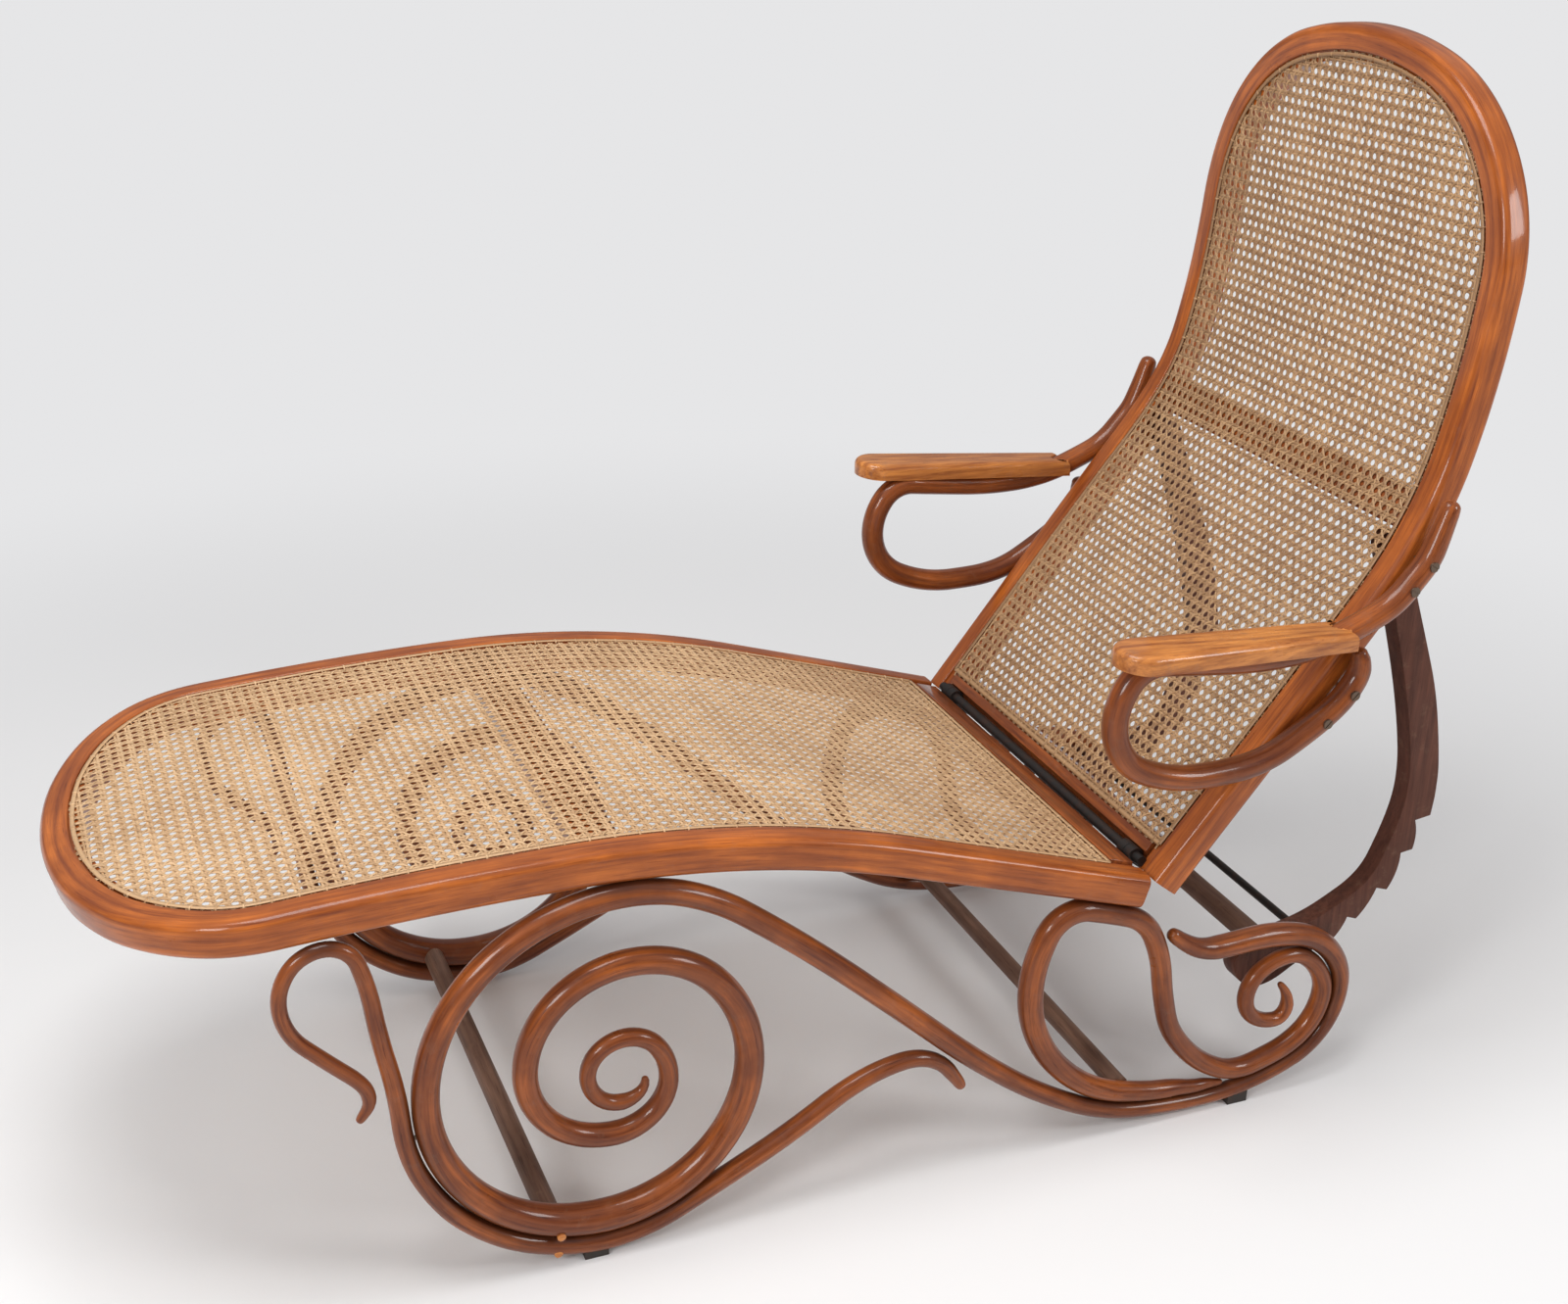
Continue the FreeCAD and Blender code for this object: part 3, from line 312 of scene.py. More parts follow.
def wood(name, light, dark, stain=0.45, wear=0.25, gloss=0.24, coat=0.6, along=None, bump=0.12):
    """along is the axis that the grain follows on a plain piece; without it the grain attribute is read."""
    material = bpy.data.materials.new(name)
    material.use_nodes = True
    tree = material.node_tree
    shader = tree.nodes["Principled BSDF"]
    if along is None:
        vector = add(tree, "ShaderNodeAttribute", attribute_name="grain").outputs["Vector"]
    else:
        turns = {"x": (0, 0, 0), "y": (0, 0, math.pi / 2), "z": (0, math.pi / 2, 0)}
        place = add(tree, "ShaderNodeTexCoord").outputs["Object"]
        vector = add(tree, "ShaderNodeMapping", {"Vector": place, "Rotation": turns[along]}).outputs[0]
    grain = add(tree, "ShaderNodeGroup", node_tree=GRAIN)
    tree.links.new(vector, grain.inputs["Vector"])
    grain.inputs["Light"].default_value = (*light, 1)
    grain.inputs["Dark"].default_value = (*dark, 1)
    grain.inputs["Stain"].default_value = stain
    grain.inputs["Wear"].default_value = wear
    # Painted shade: near other rods and under the seat frame the colour darkens towards a shadow tone and gets
    # rougher
    contact_shade = add(tree, "ShaderNodeAttribute", attribute_name="contact_shade").outputs["Fac"]
    shadow_tone = tuple(CONTACT_SHADE_DEPTH * channel for channel in dark)
    contact_shaded = mix(tree, maths(tree, "MULTIPLY", contact_shade, 0.8), grain.outputs["Color"], shadow_tone)
    tree.links.new(contact_shaded, shader.inputs["Base Color"])
    rough = maths(tree, "ADD", grain.outputs["Roughness"], gloss)
    tree.links.new(maths(tree, "ADD", rough, maths(tree, "MULTIPLY", contact_shade, 0.2)), shader.inputs["Roughness"])
    relief = add(tree, "ShaderNodeBump", {"Strength": bump, "Distance": GRAIN_RELIEF,
                                          "Height": grain.outputs["Height"]})
    tree.links.new(relief.outputs["Normal"], shader.inputs["Normal"])
    shader.inputs["Coat Weight"].default_value = coat
    shader.inputs["Coat Roughness"].default_value = 0.10
    shader.inputs["Coat IOR"].default_value = 1.4
    shader.inputs["Specular IOR Level"].default_value = 0.15
    return material


RED = ((0.40, 0.105, 0.020), (0.105, 0.024, 0.008))
POLISHED = wood("Polished red beech", *RED, stain=0.6, wear=0.15)
FRAME_WOOD = wood("Polished frame beech", (0.56, 0.150, 0.022), (0.19, 0.042, 0.010), stain=0.5, wear=0.12)
RAIL_WOOD = wood("Polished rail beech", *RED, along="y")
ARM_WOOD = wood("Worn arm beech", (0.70, 0.27, 0.065), (0.26, 0.075, 0.020), stain=0.3, wear=0.3,
                gloss=0.22, along="x")
BOW_WOOD = wood("Matt brown bow wood", (0.150, 0.055, 0.034), (0.070, 0.026, 0.017), stain=0.5, wear=0.35,
                gloss=0.42, coat=0.08, along="z")
BAR_WOOD = wood("Grey brown stretcher wood", (0.24, 0.135, 0.090), (0.11, 0.060, 0.042), stain=0.5, wear=0.6,
                gloss=0.42, coat=0.08, along="y")
print("woods made:", [material.name for material in bpy.data.materials if "wood" in material.name.lower()])


# %% Metals and the dark feet
def metal(name, colour, rough, metallic=1.0, rust=0.3):
    material = bpy.data.materials.new(name)
    material.use_nodes = True
    tree = material.node_tree
    shader = tree.nodes["Principled BSDF"]
    place = add(tree, "ShaderNodeTexCoord").outputs["Object"]
    cloud = add(tree, "ShaderNodeTexNoise", {"Vector": place, "Scale": 90.0, "Detail": 6.0,
                                             "Roughness": 0.65}).outputs["Fac"]
    spots = ramp(tree, cloud, [(0.45, (0, 0, 0)), (0.68, (1, 1, 1))])
    brown = (colour[0] * 0.9 + 0.05, colour[1] * 0.7 + 0.015, colour[2] * 0.6 + 0.005)
    tree.links.new(mix(tree, maths(tree, "MULTIPLY", spots, rust), colour, brown), shader.inputs["Base Color"])
    tree.links.new(maths(tree, "ADD", maths(tree, "MULTIPLY", cloud, 0.25), rough), shader.inputs["Roughness"])
    relief = add(tree, "ShaderNodeBump", {"Strength": 0.15, "Distance": GRAIN_RELIEF, "Height": cloud})
    tree.links.new(relief.outputs["Normal"], shader.inputs["Normal"])
    shader.inputs["Metallic"].default_value = metallic
    return material


IRON = metal("Black worn iron", (0.030, 0.026, 0.024), 0.35, 0.6, 0.5)
STEEL = metal("Dull screw steel", (0.16, 0.12, 0.09), 0.35, 0.9, 0.5)
FELT = metal("Dark foot leather", (0.030, 0.024, 0.020), 0.65, 0.0, 0.3)

# %% [markdown]
# ## Bent rods
# Each rod is a path with a thickness at every point. A Geometry Nodes tree draws a circle along it and closes
# the ends. It also writes the grain attribute: the length along the rod and the place in its section, so that
# the shader sees a straight stick. A list of bend points is easier to change than a mesh.


# %% Small helpers for Geometry Nodes trees
def new_tree(name, inputs):
    tree = bpy.data.node_groups.new(name, "GeometryNodeTree")
    tree.is_modifier = True
    for socket in ("Geometry", *inputs):
        kind = {"Sides": "Int", "Width": "Float", "Thickness": "Float"}.get(socket, socket)
        tree.interface.new_socket(name=socket, in_out="INPUT", socket_type="NodeSocket" + kind)
    tree.interface.new_socket(name="Geometry", in_out="OUTPUT", socket_type="NodeSocketGeometry")
    return tree, tree.nodes.new("NodeGroupInput"), tree.nodes.new("NodeGroupOutput")


def stored(tree, geometry, name, value, kind="FLOAT"):
    return add(tree, "GeometryNodeStoreNamedAttribute", {"Geometry": geometry, "Name": name, "Value": value},
               data_type=kind).outputs[0]


def read(tree, name, kind="FLOAT"):
    return add(tree, "GeometryNodeInputNamedAttribute", {"Name": name}, data_type=kind).outputs["Attribute"]


def finished_mesh(tree, mesh, material, end):
    mesh = add(tree, "GeometryNodeRealizeInstances", {"Geometry": mesh}).outputs[0]
    mesh = add(tree, "GeometryNodeSetMaterial", {"Geometry": mesh, "Material": material}).outputs[0]
    tree.links.new(mesh, end.inputs["Geometry"])


# %% Tree that turns a path into a rod
def make_rod_tree():
    tree, start, end = new_tree("Rod along a path", ("Sides", "Material"))
    curve = add(tree, "GeometryNodeMeshToCurve", {"Mesh": start.outputs["Geometry"]}).outputs[0]
    length = add(tree, "GeometryNodeSplineParameter").outputs["Length"]
    curve = stored(tree, curve, "run", length)
    thick = read(tree, "thick")
    curve = add(tree, "GeometryNodeSetCurveRadius", {"Curve": curve, "Radius": thick}).outputs[0]
    ring = add(tree, "GeometryNodeCurvePrimitiveCircle",
               {"Resolution": start.outputs["Sides"], "Radius": 1.0}).outputs[0]
    place = add(tree, "GeometryNodeInputPosition").outputs[0]
    ring = stored(tree, ring, "section", place, "FLOAT_VECTOR")
    sweep = add(tree, "GeometryNodeCurveToMesh", {"Curve": curve, "Profile Curve": ring, "Fill Caps": True})
    if "Scale" in sweep.inputs:
        tree.links.new(thick, sweep.inputs["Scale"])
    mesh = sweep.outputs[0]
    run = read(tree, "run")
    section = read(tree, "section", "FLOAT_VECTOR")
    real_size = add(tree, "ShaderNodeVectorMath", {0: section}, operation="SCALE")
    tree.links.new(read(tree, "thick"), real_size.inputs["Scale"])
    parts = add(tree, "ShaderNodeSeparateXYZ", {0: real_size.outputs[0]})
    grain = add(tree, "ShaderNodeCombineXYZ", {0: run, 1: parts.outputs[0], 2: parts.outputs[1]}).outputs[0]
    mesh = stored(tree, mesh, "grain", grain, "FLOAT_VECTOR")
    mesh = add(tree, "GeometryNodeSetShadeSmooth", {"Geometry": mesh}).outputs[0]
    finished_mesh(tree, mesh, start.outputs["Material"], end)
    return tree


ROD_TREE = make_rod_tree()


def numbers_on(mesh, name, values):
    mesh.attributes.new(name, "FLOAT", "POINT").data.foreach_set("value", values.astype(np.float32))


def vectors_on(mesh, name, values):
    data = mesh.attributes.new(name, "FLOAT_VECTOR", "POINT").data
    data.foreach_set("vector", values.reshape(-1).astype(np.float32))


def link(obj):
    bpy.context.scene.collection.objects.link(obj)
    return obj


def made_by(tree, name, mesh, **values):
    """Runs a tree on a mesh and keeps the result as a plain mesh"""
    obj = link(bpy.data.objects.new(name + " path", mesh))
    modifier = obj.modifiers.new(name, "NODES")
    modifier.node_group = tree
    for item in tree.interface.items_tree:
        if item.item_type == "SOCKET" and item.in_out == "INPUT" and item.name in values:
            modifier[item.identifier] = values[item.name]
    graph = bpy.context.evaluated_depsgraph_get()
    result = bpy.data.meshes.new_from_object(obj.evaluated_get(graph), preserve_all_data_layers=True,
                                             depsgraph=graph)
    result.name = name
    bpy.data.objects.remove(obj)
    return link(bpy.data.objects.new(name, result))


def paths_mesh(name, paths, thick=None):
    """One mesh of open paths; every path is an array of points in metres"""
    mesh = bpy.data.meshes.new(name)
    points = np.concatenate(paths)
    links = []
    base = 0
    for path in paths:
        links += [(base + i, base + i + 1) for i in range(len(path) - 1)]
        base += len(path)
    mesh.from_pydata([tuple(p) for p in points], links, [])
    if thick is not None:
        numbers_on(mesh, "thick", np.concatenate(thick))
    return mesh


NOSE = np.array((0.0, 0.02, 0.08, 0.2, 0.38, 0.62, 1.0))
PATH_STEP = 6.0


def rod(name, bends, y, material, sides=32, step=PATH_STEP, round_end=0.8):
    """A bent rod with rounded ends at a distance y from the middle of the chair"""
    stations = chain(bends, step)
    points = np.stack(spot(stations[:, 0], np.full(len(stations), y), stations[:, 1]), 1)
    thick = stations[:, 3] * MM
    run = np.concatenate([[0], np.cumsum(np.linalg.norm(np.diff(points, axis=0), axis=1))])
    grown_points = []
    grown_thick = []
    for end in (0, 1):
        radius = thick[0] if end == 0 else thick[-1]
        reach = radius * round_end
        places = NOSE * reach
        if end == 1:
            places = run[-1] - places[::-1]
        profile = radius * np.sqrt(np.clip(1 - (1 - NOSE) ** 2, 0.0004, 1))
        grown_thick.append(profile if end == 0 else profile[::-1])
        grown_points.append(np.stack([np.interp(places, run, points[:, axis]) for axis in range(3)], 1))
    clear = 1.2 * round_end
    middle = (run > thick[0] * clear) & (run < run[-1] - thick[-1] * clear)
    path = np.concatenate([grown_points[0], points[middle], grown_points[1]])
    width = np.concatenate([grown_thick[0], thick[middle], grown_thick[1]])
    return made_by(ROD_TREE, name, paths_mesh(name, [path], [width]), Sides=sides, Material=material)


# %% Painted shade in the corners where pieces touch
AT_ONCE = 4000


def paint_contact_shade(piece, touching, reach=11.0):
    """touching holds arrays of x, z and radius in millimetres; the painted shade fades out at reach from them"""
    mesh = piece.data
    places = np.empty(len(mesh.vertices) * 3, np.float32)
    mesh.vertices.foreach_get("co", places)
    x = places[0::3] / MM + ORIGIN_X
    z = places[2::3] / MM
    nearest = np.full(len(x), 1e3)
    for others in touching:
        for part in np.array_split(np.arange(len(x)), max(1, len(x) // AT_ONCE)):
            apart = np.hypot(x[part, None] - others[None, :, 0], z[part, None] - others[None, :, 1])
            nearest[part] = np.minimum(nearest[part], (apart - others[None, :, 2]).min(1))
    # Painted shade: strongest where this piece meets another one or the seat frame's lower face
    contact_shade = np.clip(1 - (nearest - 1.0) / reach, 0, 1) ** 1.5
    numbers_on(mesh, "contact_shade", contact_shade)


def strand_spots(bends):
    return chain(bends, PATH_STEP)[:, (0, 1, 3)]


def seat_underside():
    """Points of the seat frame's lower face, as if it were a row of thin rods"""
    stations = chain(SEAT, PATH_STEP)
    turn = np.radians(stations[:, 2])
    down = SEAT_DEPTH + 1.0
    return np.stack([stations[:, 0] + down * np.sin(turn), stations[:, 1] - down * np.cos(turn),
                     np.ones(len(stations))], 1)


# %% The runner strands and the arm loops
TOUCHING = {"main_scroll": (FOOT, REAR), "foot_scroll": (MAIN,), "rear_scroll": (MAIN,)}
# The planes of the runners and of the arm loops, from the middle of the chair
STRAND_Y = 279.5
ARM_Y = 307.6
for side_name, sign in SIDES.items():
    for label, bends in (("main_scroll", MAIN), ("foot_scroll", FOOT), ("rear_scroll", REAR)):
        piece = rod(label + "_polished_" + side_name, bends, sign * STRAND_Y, POLISHED)
        # Painted shade where the strand meets the strands it hugs and under the seat frame
        paint_contact_shade(piece, [strand_spots(other) for other in TOUCHING[label]] + [seat_underside()])
        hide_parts(label + "_" + side_name)
        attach(piece, "base")
    piece = rod("arm_loop_polished_" + side_name, ARM, sign * ARM_Y, POLISHED)
    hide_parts("arm_loop_" + side_name)
    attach(piece, "back")

# %% [markdown]
# ## Frames of the seat and the back
# Both frames are bent rails with softly rounded edges and a step inside, on which the cane lies. A section of
# that shape is carried along the frame's outline, so rounding, step and grain all follow the bend.


# %% Small helpers for meshes
def point_outwards(obj):
    work = bmesh.new()
    work.from_mesh(obj.data)
    bmesh.ops.recalc_face_normals(work, faces=work.faces)
    work.to_mesh(obj.data)
    work.free()


def shade(obj, angle):
    """Smooth shading, with edges kept sharp where faces meet at more than the angle"""
    for polygon in obj.data.polygons:
        polygon.use_smooth = True
    obj.data.set_sharp_from_angle(angle=math.radians(angle))


def rounded(corners, count=4):
    """A section given as (u, v, radius) corners, with each corner rounded"""
    out = []
    total = len(corners)
    for i, (u, v, radius) in enumerate(corners):
        before = np.array(corners[i - 1][:2])
        after = np.array(corners[(i + 1) % total][:2])
        here = np.array((u, v))
        if radius <= 0:
            out.append(tuple(here))
            continue
        a = (before - here) / np.linalg.norm(before - here)
        b = (after - here) / np.linalg.norm(after - here)
        half = math.acos(max(-1, min(1, float(a @ b)))) / 2
        reach = radius / math.tan(half)
        middle = here + (a + b) / np.linalg.norm(a + b) * radius / math.sin(half)
        pa = here + a * reach - middle
        pb = here + b * reach - middle
        for k in range(count + 1):
            share = k / count
            angle = math.pi - 2 * half
            p = (math.sin((1 - share) * angle) * pa + math.sin(share * angle) * pb) / math.sin(angle)
            out.append(tuple(middle + p))
    return [(u * MM, v * MM) for u, v in out]


# %% Seat frame
class Curve:
    """A side curve measured by its length, for placing what lies on the seat or on the back"""

    def __init__(self, bends):
        stations = chain(bends, 4.0)
        self.x, self.z, self.heading = stations[:, 0], stations[:, 1], stations[:, 2]
        self.s = np.concatenate([[0], np.cumsum(np.hypot(np.diff(self.x), np.diff(self.z)))])

    def at(self, s, height=0.0):
        x = np.interp(s, self.s, self.x)
        z = np.interp(s, self.s, self.z)
        h = np.radians(np.interp(s, self.s, self.heading))
        return x - height * np.sin(h), z + height * np.cos(h)

    def s_of(self, value, axis):
        return np.interp(value, getattr(self, axis), self.s)


SEAT_CURVE = Curve(SEAT)
BACK_CURVE = Curve(BACK)
RELIEF = 11.0
SEAT_END = HINGE[0] - RELIEF
HALF, FLARE, TIP, ROUND_X = 282.0, 12.0, -437.0, -246.0
SLANT = math.degrees(math.atan2(FLARE, SEAT_END - ROUND_X))
SEAT_PLAN = [(SEAT_END, HALF + FLARE, 180 + SLANT), (ROUND_X, HALF, 180 + SLANT),
             (ROUND_X + 0.775 * (TIP - ROUND_X), 0.645 * HALF, 241), (TIP, 0.0, 270)]
SEAT_PLAN = SEAT_PLAN + [(x, -y, 180 - h) for x, y, h in reversed(SEAT_PLAN[:-1])]
BACK_HALF, SWELL, BACK_TOP, CROWN, CORNER = 282.6, 10.4, 1187.0, 430.0, 230.0
RISE = math.sqrt((CROWN - CORNER) ** 2 - (BACK_HALF - CORNER) ** 2)
LEAN = math.degrees(math.atan2(RISE, BACK_HALF - CORNER))
LOW_CROWN = BACK_TOP - CROWN
BACK_FRONT = [(BACK_HALF + SWELL - 7.0, 250.0, 88.9), (BACK_HALF + SWELL, 590.0, 90.0),
              (BACK_HALF, 800.0, 90.0), (BACK_HALF, LOW_CROWN + RISE, 90.0),
              (CROWN * unit(LEAN)[0], LOW_CROWN + CROWN * unit(LEAN)[1], 90 + LEAN), (0.0, BACK_TOP, 180.0)]
BACK_FRONT = BACK_FRONT + [(-y, z, -h) for y, z, h in reversed(BACK_FRONT[:-1])]


def outline_path(bends, step, reach=0.0):
    stations = chain(bends, step)
    h = np.radians(stations[:, 2])
    return stations[:, 0] - reach * np.sin(h), stations[:, 1] + reach * np.cos(h), stations[:, 2]


def frame_rail(name, bends, curve, depth, axis, material):
    """The section follows the outline; each of its points is laid on the side curve at its own place"""
    ledge = RIM_WIDTH + LEDGE_WIDTH
    section = rounded([(0, 0, 9.0), (RIM_WIDTH, 0, 2.5), (RIM_WIDTH, -REBATE, 0), (ledge, -REBATE, 2.0),
                       (ledge, -depth, 5.0), (0, -depth, 9.0)], 5)
    a, b, heading = outline_path(bends, 9.0)
    c, s = np.cos(np.radians(heading)), np.sin(np.radians(heading))
    u = np.array([p[0] for p in section]) / MM
    v = np.array([p[1] for p in section]) / MM
    flat_a = a[:, None] - s[:, None] * u[None]
    flat_b = b[:, None] + c[:, None] * u[None]
    lengthwise, y = (flat_a, flat_b) if axis == "x" else (flat_b, flat_a)
    x, z = curve.at(curve.s_of(lengthwise, axis), v[None])
    points = np.stack(spot(x, y, z), 2)
    rows, count = points.shape[:2]
    middle = points.mean(1)
    run = np.concatenate([[0], np.cumsum(np.linalg.norm(np.diff(middle, axis=0), axis=1))])
    faces = []
    for i in range(rows - 1):
        for j in range(count):
            k = (j + 1) % count
            faces.append((i * count + j, i * count + k, (i + 1) * count + k, (i + 1) * count + j))
    faces += [tuple(range(count - 1, -1, -1)), tuple((rows - 1) * count + j for j in range(count))]
    mesh = bpy.data.meshes.new(name)
    mesh.from_pydata([tuple(p) for p in points.reshape(-1, 3)], [], faces)
    grain = np.stack(np.broadcast_arrays(run[:, None], u[None] * MM, v[None] * MM), 2)
    vectors_on(mesh, "grain", grain)
    mesh.materials.append(material)
    obj = link(bpy.data.objects.new(name, mesh))
    point_outwards(obj)
    shade(obj, 40)
    return obj


seat_rim = frame_rail("seat_rim_polished", SEAT_PLAN, SEAT_CURVE, SEAT_DEPTH, "x", FRAME_WOOD)
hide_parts("seat_rim")
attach(seat_rim, "base")
low_z = BACK[0][1]
low_y = BACK_FRONT[1][0] - 3.0
BACK_RAIL = [(low_y, low_z, 89.3)] + BACK_FRONT[1:-1] + [(-low_y, low_z, -89.3)]
back_rim = frame_rail("back_rim_polished", BACK_RAIL, BACK_CURVE, BACK_DEPTH, "z", FRAME_WOOD)
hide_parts("back_rim")
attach(back_rim, "back")
print("frames:", len(seat_rim.data.polygons), len(back_rim.data.polygons))

# %% [markdown]
# ## Woven cane
# Six-way cane: pairs of strands run along and across between the holes, and two slanting strands cross them
# half way between the crossings of the pairs, which leaves open eight-sided holes. The paths are worked out flat,
# then laid on the seat's and the back's own curves. A Geometry Nodes tree gives every path a flat section that
# keeps facing away from the surface.

# %% Tree that turns paths into flat strands
PITCH = 12.7
PAIR_GAP = 1.75
STRAND_WIDTH = 2.35
STRAND_THICK = 0.75
CANE_INSET = 5.5
WEAVE_LIFT = 0.42
SLANT_OVER = 1.15
SLANT_UNDER = 0.9
END_DIP = 0.8


def make_strand_tree():
    tree, start, end = new_tree("Flat strands along paths", ("Width", "Thickness", "Material"))
    curve = add(tree, "GeometryNodeMeshToCurve", {"Mesh": start.outputs["Geometry"]}).outputs[0]
    facing = read(tree, "facing", "FLOAT_VECTOR")
    curve = add(tree, "GeometryNodeSetCurveNormal", {"Curve": curve, "Normal": facing}, mode="FREE").outputs[0]
    length = add(tree, "GeometryNodeSplineParameter").outputs["Length"]
    curve = stored(tree, curve, "run", length)
    flat = add(tree, "GeometryNodeCurvePrimitiveQuadrilateral",
               {"Width": start.outputs["Thickness"], "Height": start.outputs["Width"]}).outputs[0]
    mesh = add(tree, "GeometryNodeCurveToMesh", {"Curve": curve, "Profile Curve": flat,
                                                 "Fill Caps": False}).outputs[0]
    finished_mesh(tree, mesh, start.outputs["Material"], end)
    return tree


STRAND_TREE = make_strand_tree()


# %% Cane finish
def cane(name, light, dark):
    material = bpy.data.materials.new(name)
    material.use_nodes = True
    tree = material.node_tree
    shader = tree.nodes["Principled BSDF"]
    tone = add(tree, "ShaderNodeAttribute", attribute_name="tone").outputs["Fac"]
    place = add(tree, "ShaderNodeTexCoord").outputs["Object"]
    cloud = add(tree, "ShaderNodeTexNoise", {"Vector": place, "Scale": 7.0, "Detail": 4.0}).outputs["Fac"]
    fine = add(tree, "ShaderNodeTexNoise", {"Vector": place, "Scale": 260.0, "Detail": 3.0}).outputs["Fac"]
    share = maths(tree, "ADD", maths(tree, "MULTIPLY", tone, 0.55), maths(tree, "MULTIPLY", cloud, 0.45))
    colour = mix(tree, ramp(tree, share, [(0.25, (0, 0, 0)), (0.75, (1, 1, 1))]), dark, light)
    specks = ramp(tree, fine, [(0.58, (0, 0, 0)), (0.74, (1, 1, 1))])
    colour = mix(tree, maths(tree, "MULTIPLY", specks, 0.45), colour, tuple(c * 0.45 for c in dark))
    tree.links.new(colour, shader.inputs["Base Color"])
    tree.links.new(maths(tree, "ADD", maths(tree, "MULTIPLY", cloud, 0.2), 0.35), shader.inputs["Roughness"])
    return material


SEAT_CANE = cane("Seat cane", (0.68, 0.45, 0.25), (0.47, 0.28, 0.14))
BACK_CANE = cane("Back cane", (0.50, 0.30, 0.15), (0.29, 0.155, 0.070))


# %% Laying strands in a panel
def inside(polygon, a, b):
    """Even and odd crossings tell whether points lie in a closed outline"""
    result = np.zeros(a.shape, bool)
    pa, pb = polygon
    for i in range(len(pa)):
        j = i - 1
        crosses = (pb[i] > b) != (pb[j] > b)
        with np.errstate(divide="ignore", invalid="ignore"):
            limit = (pa[j] - pa[i]) * (b - pb[i]) / (pb[j] - pb[i]) + pa[i]
        result ^= crosses & (a < limit)
    return result


class Panel:
    """A stretch of cane: its side curve, its outline, and the level at which it lies"""

    def __init__(self, name, curve, axis, bends, end, base, material, body):
        self.name, self.curve, self.axis, self.material, self.body = name, curve, axis, material, body
        self.base = base
        a, b, _ = outline_path(bends, PATH_STEP, RIM_WIDTH + CANE_INSET)
        if axis == "x":
            keep = a < end
            self.polygon = (np.append(a[keep], [end, end]), np.append(b[keep], [b[keep][-1], b[keep][0]]))
        else:
            keep = b > end
            self.polygon = (np.append(a[keep], [a[keep][-1], a[keep][0]]), np.append(b[keep], [end, end]))
        lengthwise, sideways = self.polygon if axis == "x" else self.polygon[::-1]
        places = curve.s_of(lengthwise, axis)
        self.low, self.high = places.min(), places.max()
        self.half = np.abs(sideways).max()

    def lay(self, s, y, height):
        x, z = self.curve.at(s, self.base + height)
        return np.stack(spot(x, y, z), 1)

    def clip(self, s, y):
        value = np.interp(s, self.curve.s, getattr(self.curve, self.axis))
        if self.axis == "x":
            return inside(self.polygon, value, y)
        return inside(self.polygon, y, value)

    def strands(self, family):
        """Paths of one family: along, across, or slanting one way or the other"""
        rows = np.arange(math.floor(self.low / PITCH), math.ceil(self.high / PITCH) + 1)
        columns = np.arange(-math.ceil(self.half / PITCH), math.ceil(self.half / PITCH) + 1)
        paths = []
        if family == "along":
            s = np.sort(np.concatenate([rows * PITCH - PAIR_GAP, rows * PITCH + PAIR_GAP]))
            for i in columns:
                for k, offset in enumerate((-PAIR_GAP, PAIR_GAP)):
                    lift = np.where((np.arange(len(s)) + k) % 2 == 0, WEAVE_LIFT, -WEAVE_LIFT)
                    paths.append((s, np.full(len(s), i * PITCH + offset), lift))
        elif family == "across":
            y = np.sort(np.concatenate([columns * PITCH - PAIR_GAP, columns * PITCH + PAIR_GAP]))
            for j in rows:
                for k, offset in enumerate((-PAIR_GAP, PAIR_GAP)):
                    lift = np.where((np.arange(len(y)) + k) % 2 == 0, -WEAVE_LIFT, WEAVE_LIFT)
                    paths.append((np.full(len(y), j * PITCH + offset), y, lift))
        else:
            sign = 1 if family == "slant" else -1
            n = len(rows) + len(columns)
            steps = np.arange(0, 2 * n) * PITCH / 2
            for start in range(-n, n + 1):
                y = sign * (columns[0] * PITCH + steps)
                s = (rows[0] + start + 0.5) * PITCH + steps
                over = np.arange(len(steps)) % 2 == (0 if sign > 0 else 1)
                paths.append((s, y, np.where(over, SLANT_OVER, -SLANT_UNDER)))
        return paths

    def weave(self, family):
        points, facing, tones = [], [], []
        for s, y, lift in self.strands(family):
            keep = self.clip(s, y)
            if keep.sum() < 2:
                continue
            first, last = np.flatnonzero(keep)[[0, -1]]
            chosen = slice(max(first - 1, 0), last + 2)
            if family in ("slant", "counter_slant"):
                chosen = slice(first, last + 1)
            s, y, lift = s[chosen], y[chosen], lift[chosen].copy()
            lift[0] = lift[-1] = -END_DIP
            place = self.lay(s, y, lift)
            above = self.lay(s, y, lift + 1.0)
            points.append(place)
            facing.append((above - place) / MM)
            tones.append(np.full(len(s), random.random()))
        mesh = paths_mesh(self.name + family, points)
        vectors_on(mesh, "facing", np.concatenate(facing))
        numbers_on(mesh, "tone", np.concatenate(tones))
        piece = made_by(STRAND_TREE, self.name + "_" + family, mesh, Width=STRAND_WIDTH * MM,
                        Thickness=STRAND_THICK * MM, Material=self.material)
        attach(piece, self.body)
        return piece


# %% Both panels
CANE_LEVEL = -REBATE + 1.6
seat_low = SEAT_END - RIM_WIDTH - CANE_INSET
seat_panel = Panel("seat_cane", SEAT_CURVE, "x", SEAT_PLAN, seat_low, CANE_LEVEL, SEAT_CANE, "base")
back_low = BACK_CURVE.at(RIM_WIDTH + CANE_INSET)[1]
back_panel = Panel("back_cane", BACK_CURVE, "z", BACK_RAIL, back_low, CANE_LEVEL, BACK_CANE, "back")
for panel in (seat_panel, back_panel):
    for family in ("along", "across", "slant", "counter_slant"):
        piece = panel.weave(family)
        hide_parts(panel.name)
        print(piece.name, len(piece.data.polygons))


# %% [markdown]
# ## Border of the cane
# A wide strand, the binder, covers the row of holes in the frame, and short stitches come up through the holes
# to hold it. Both follow the outline on the same curves as the frame.

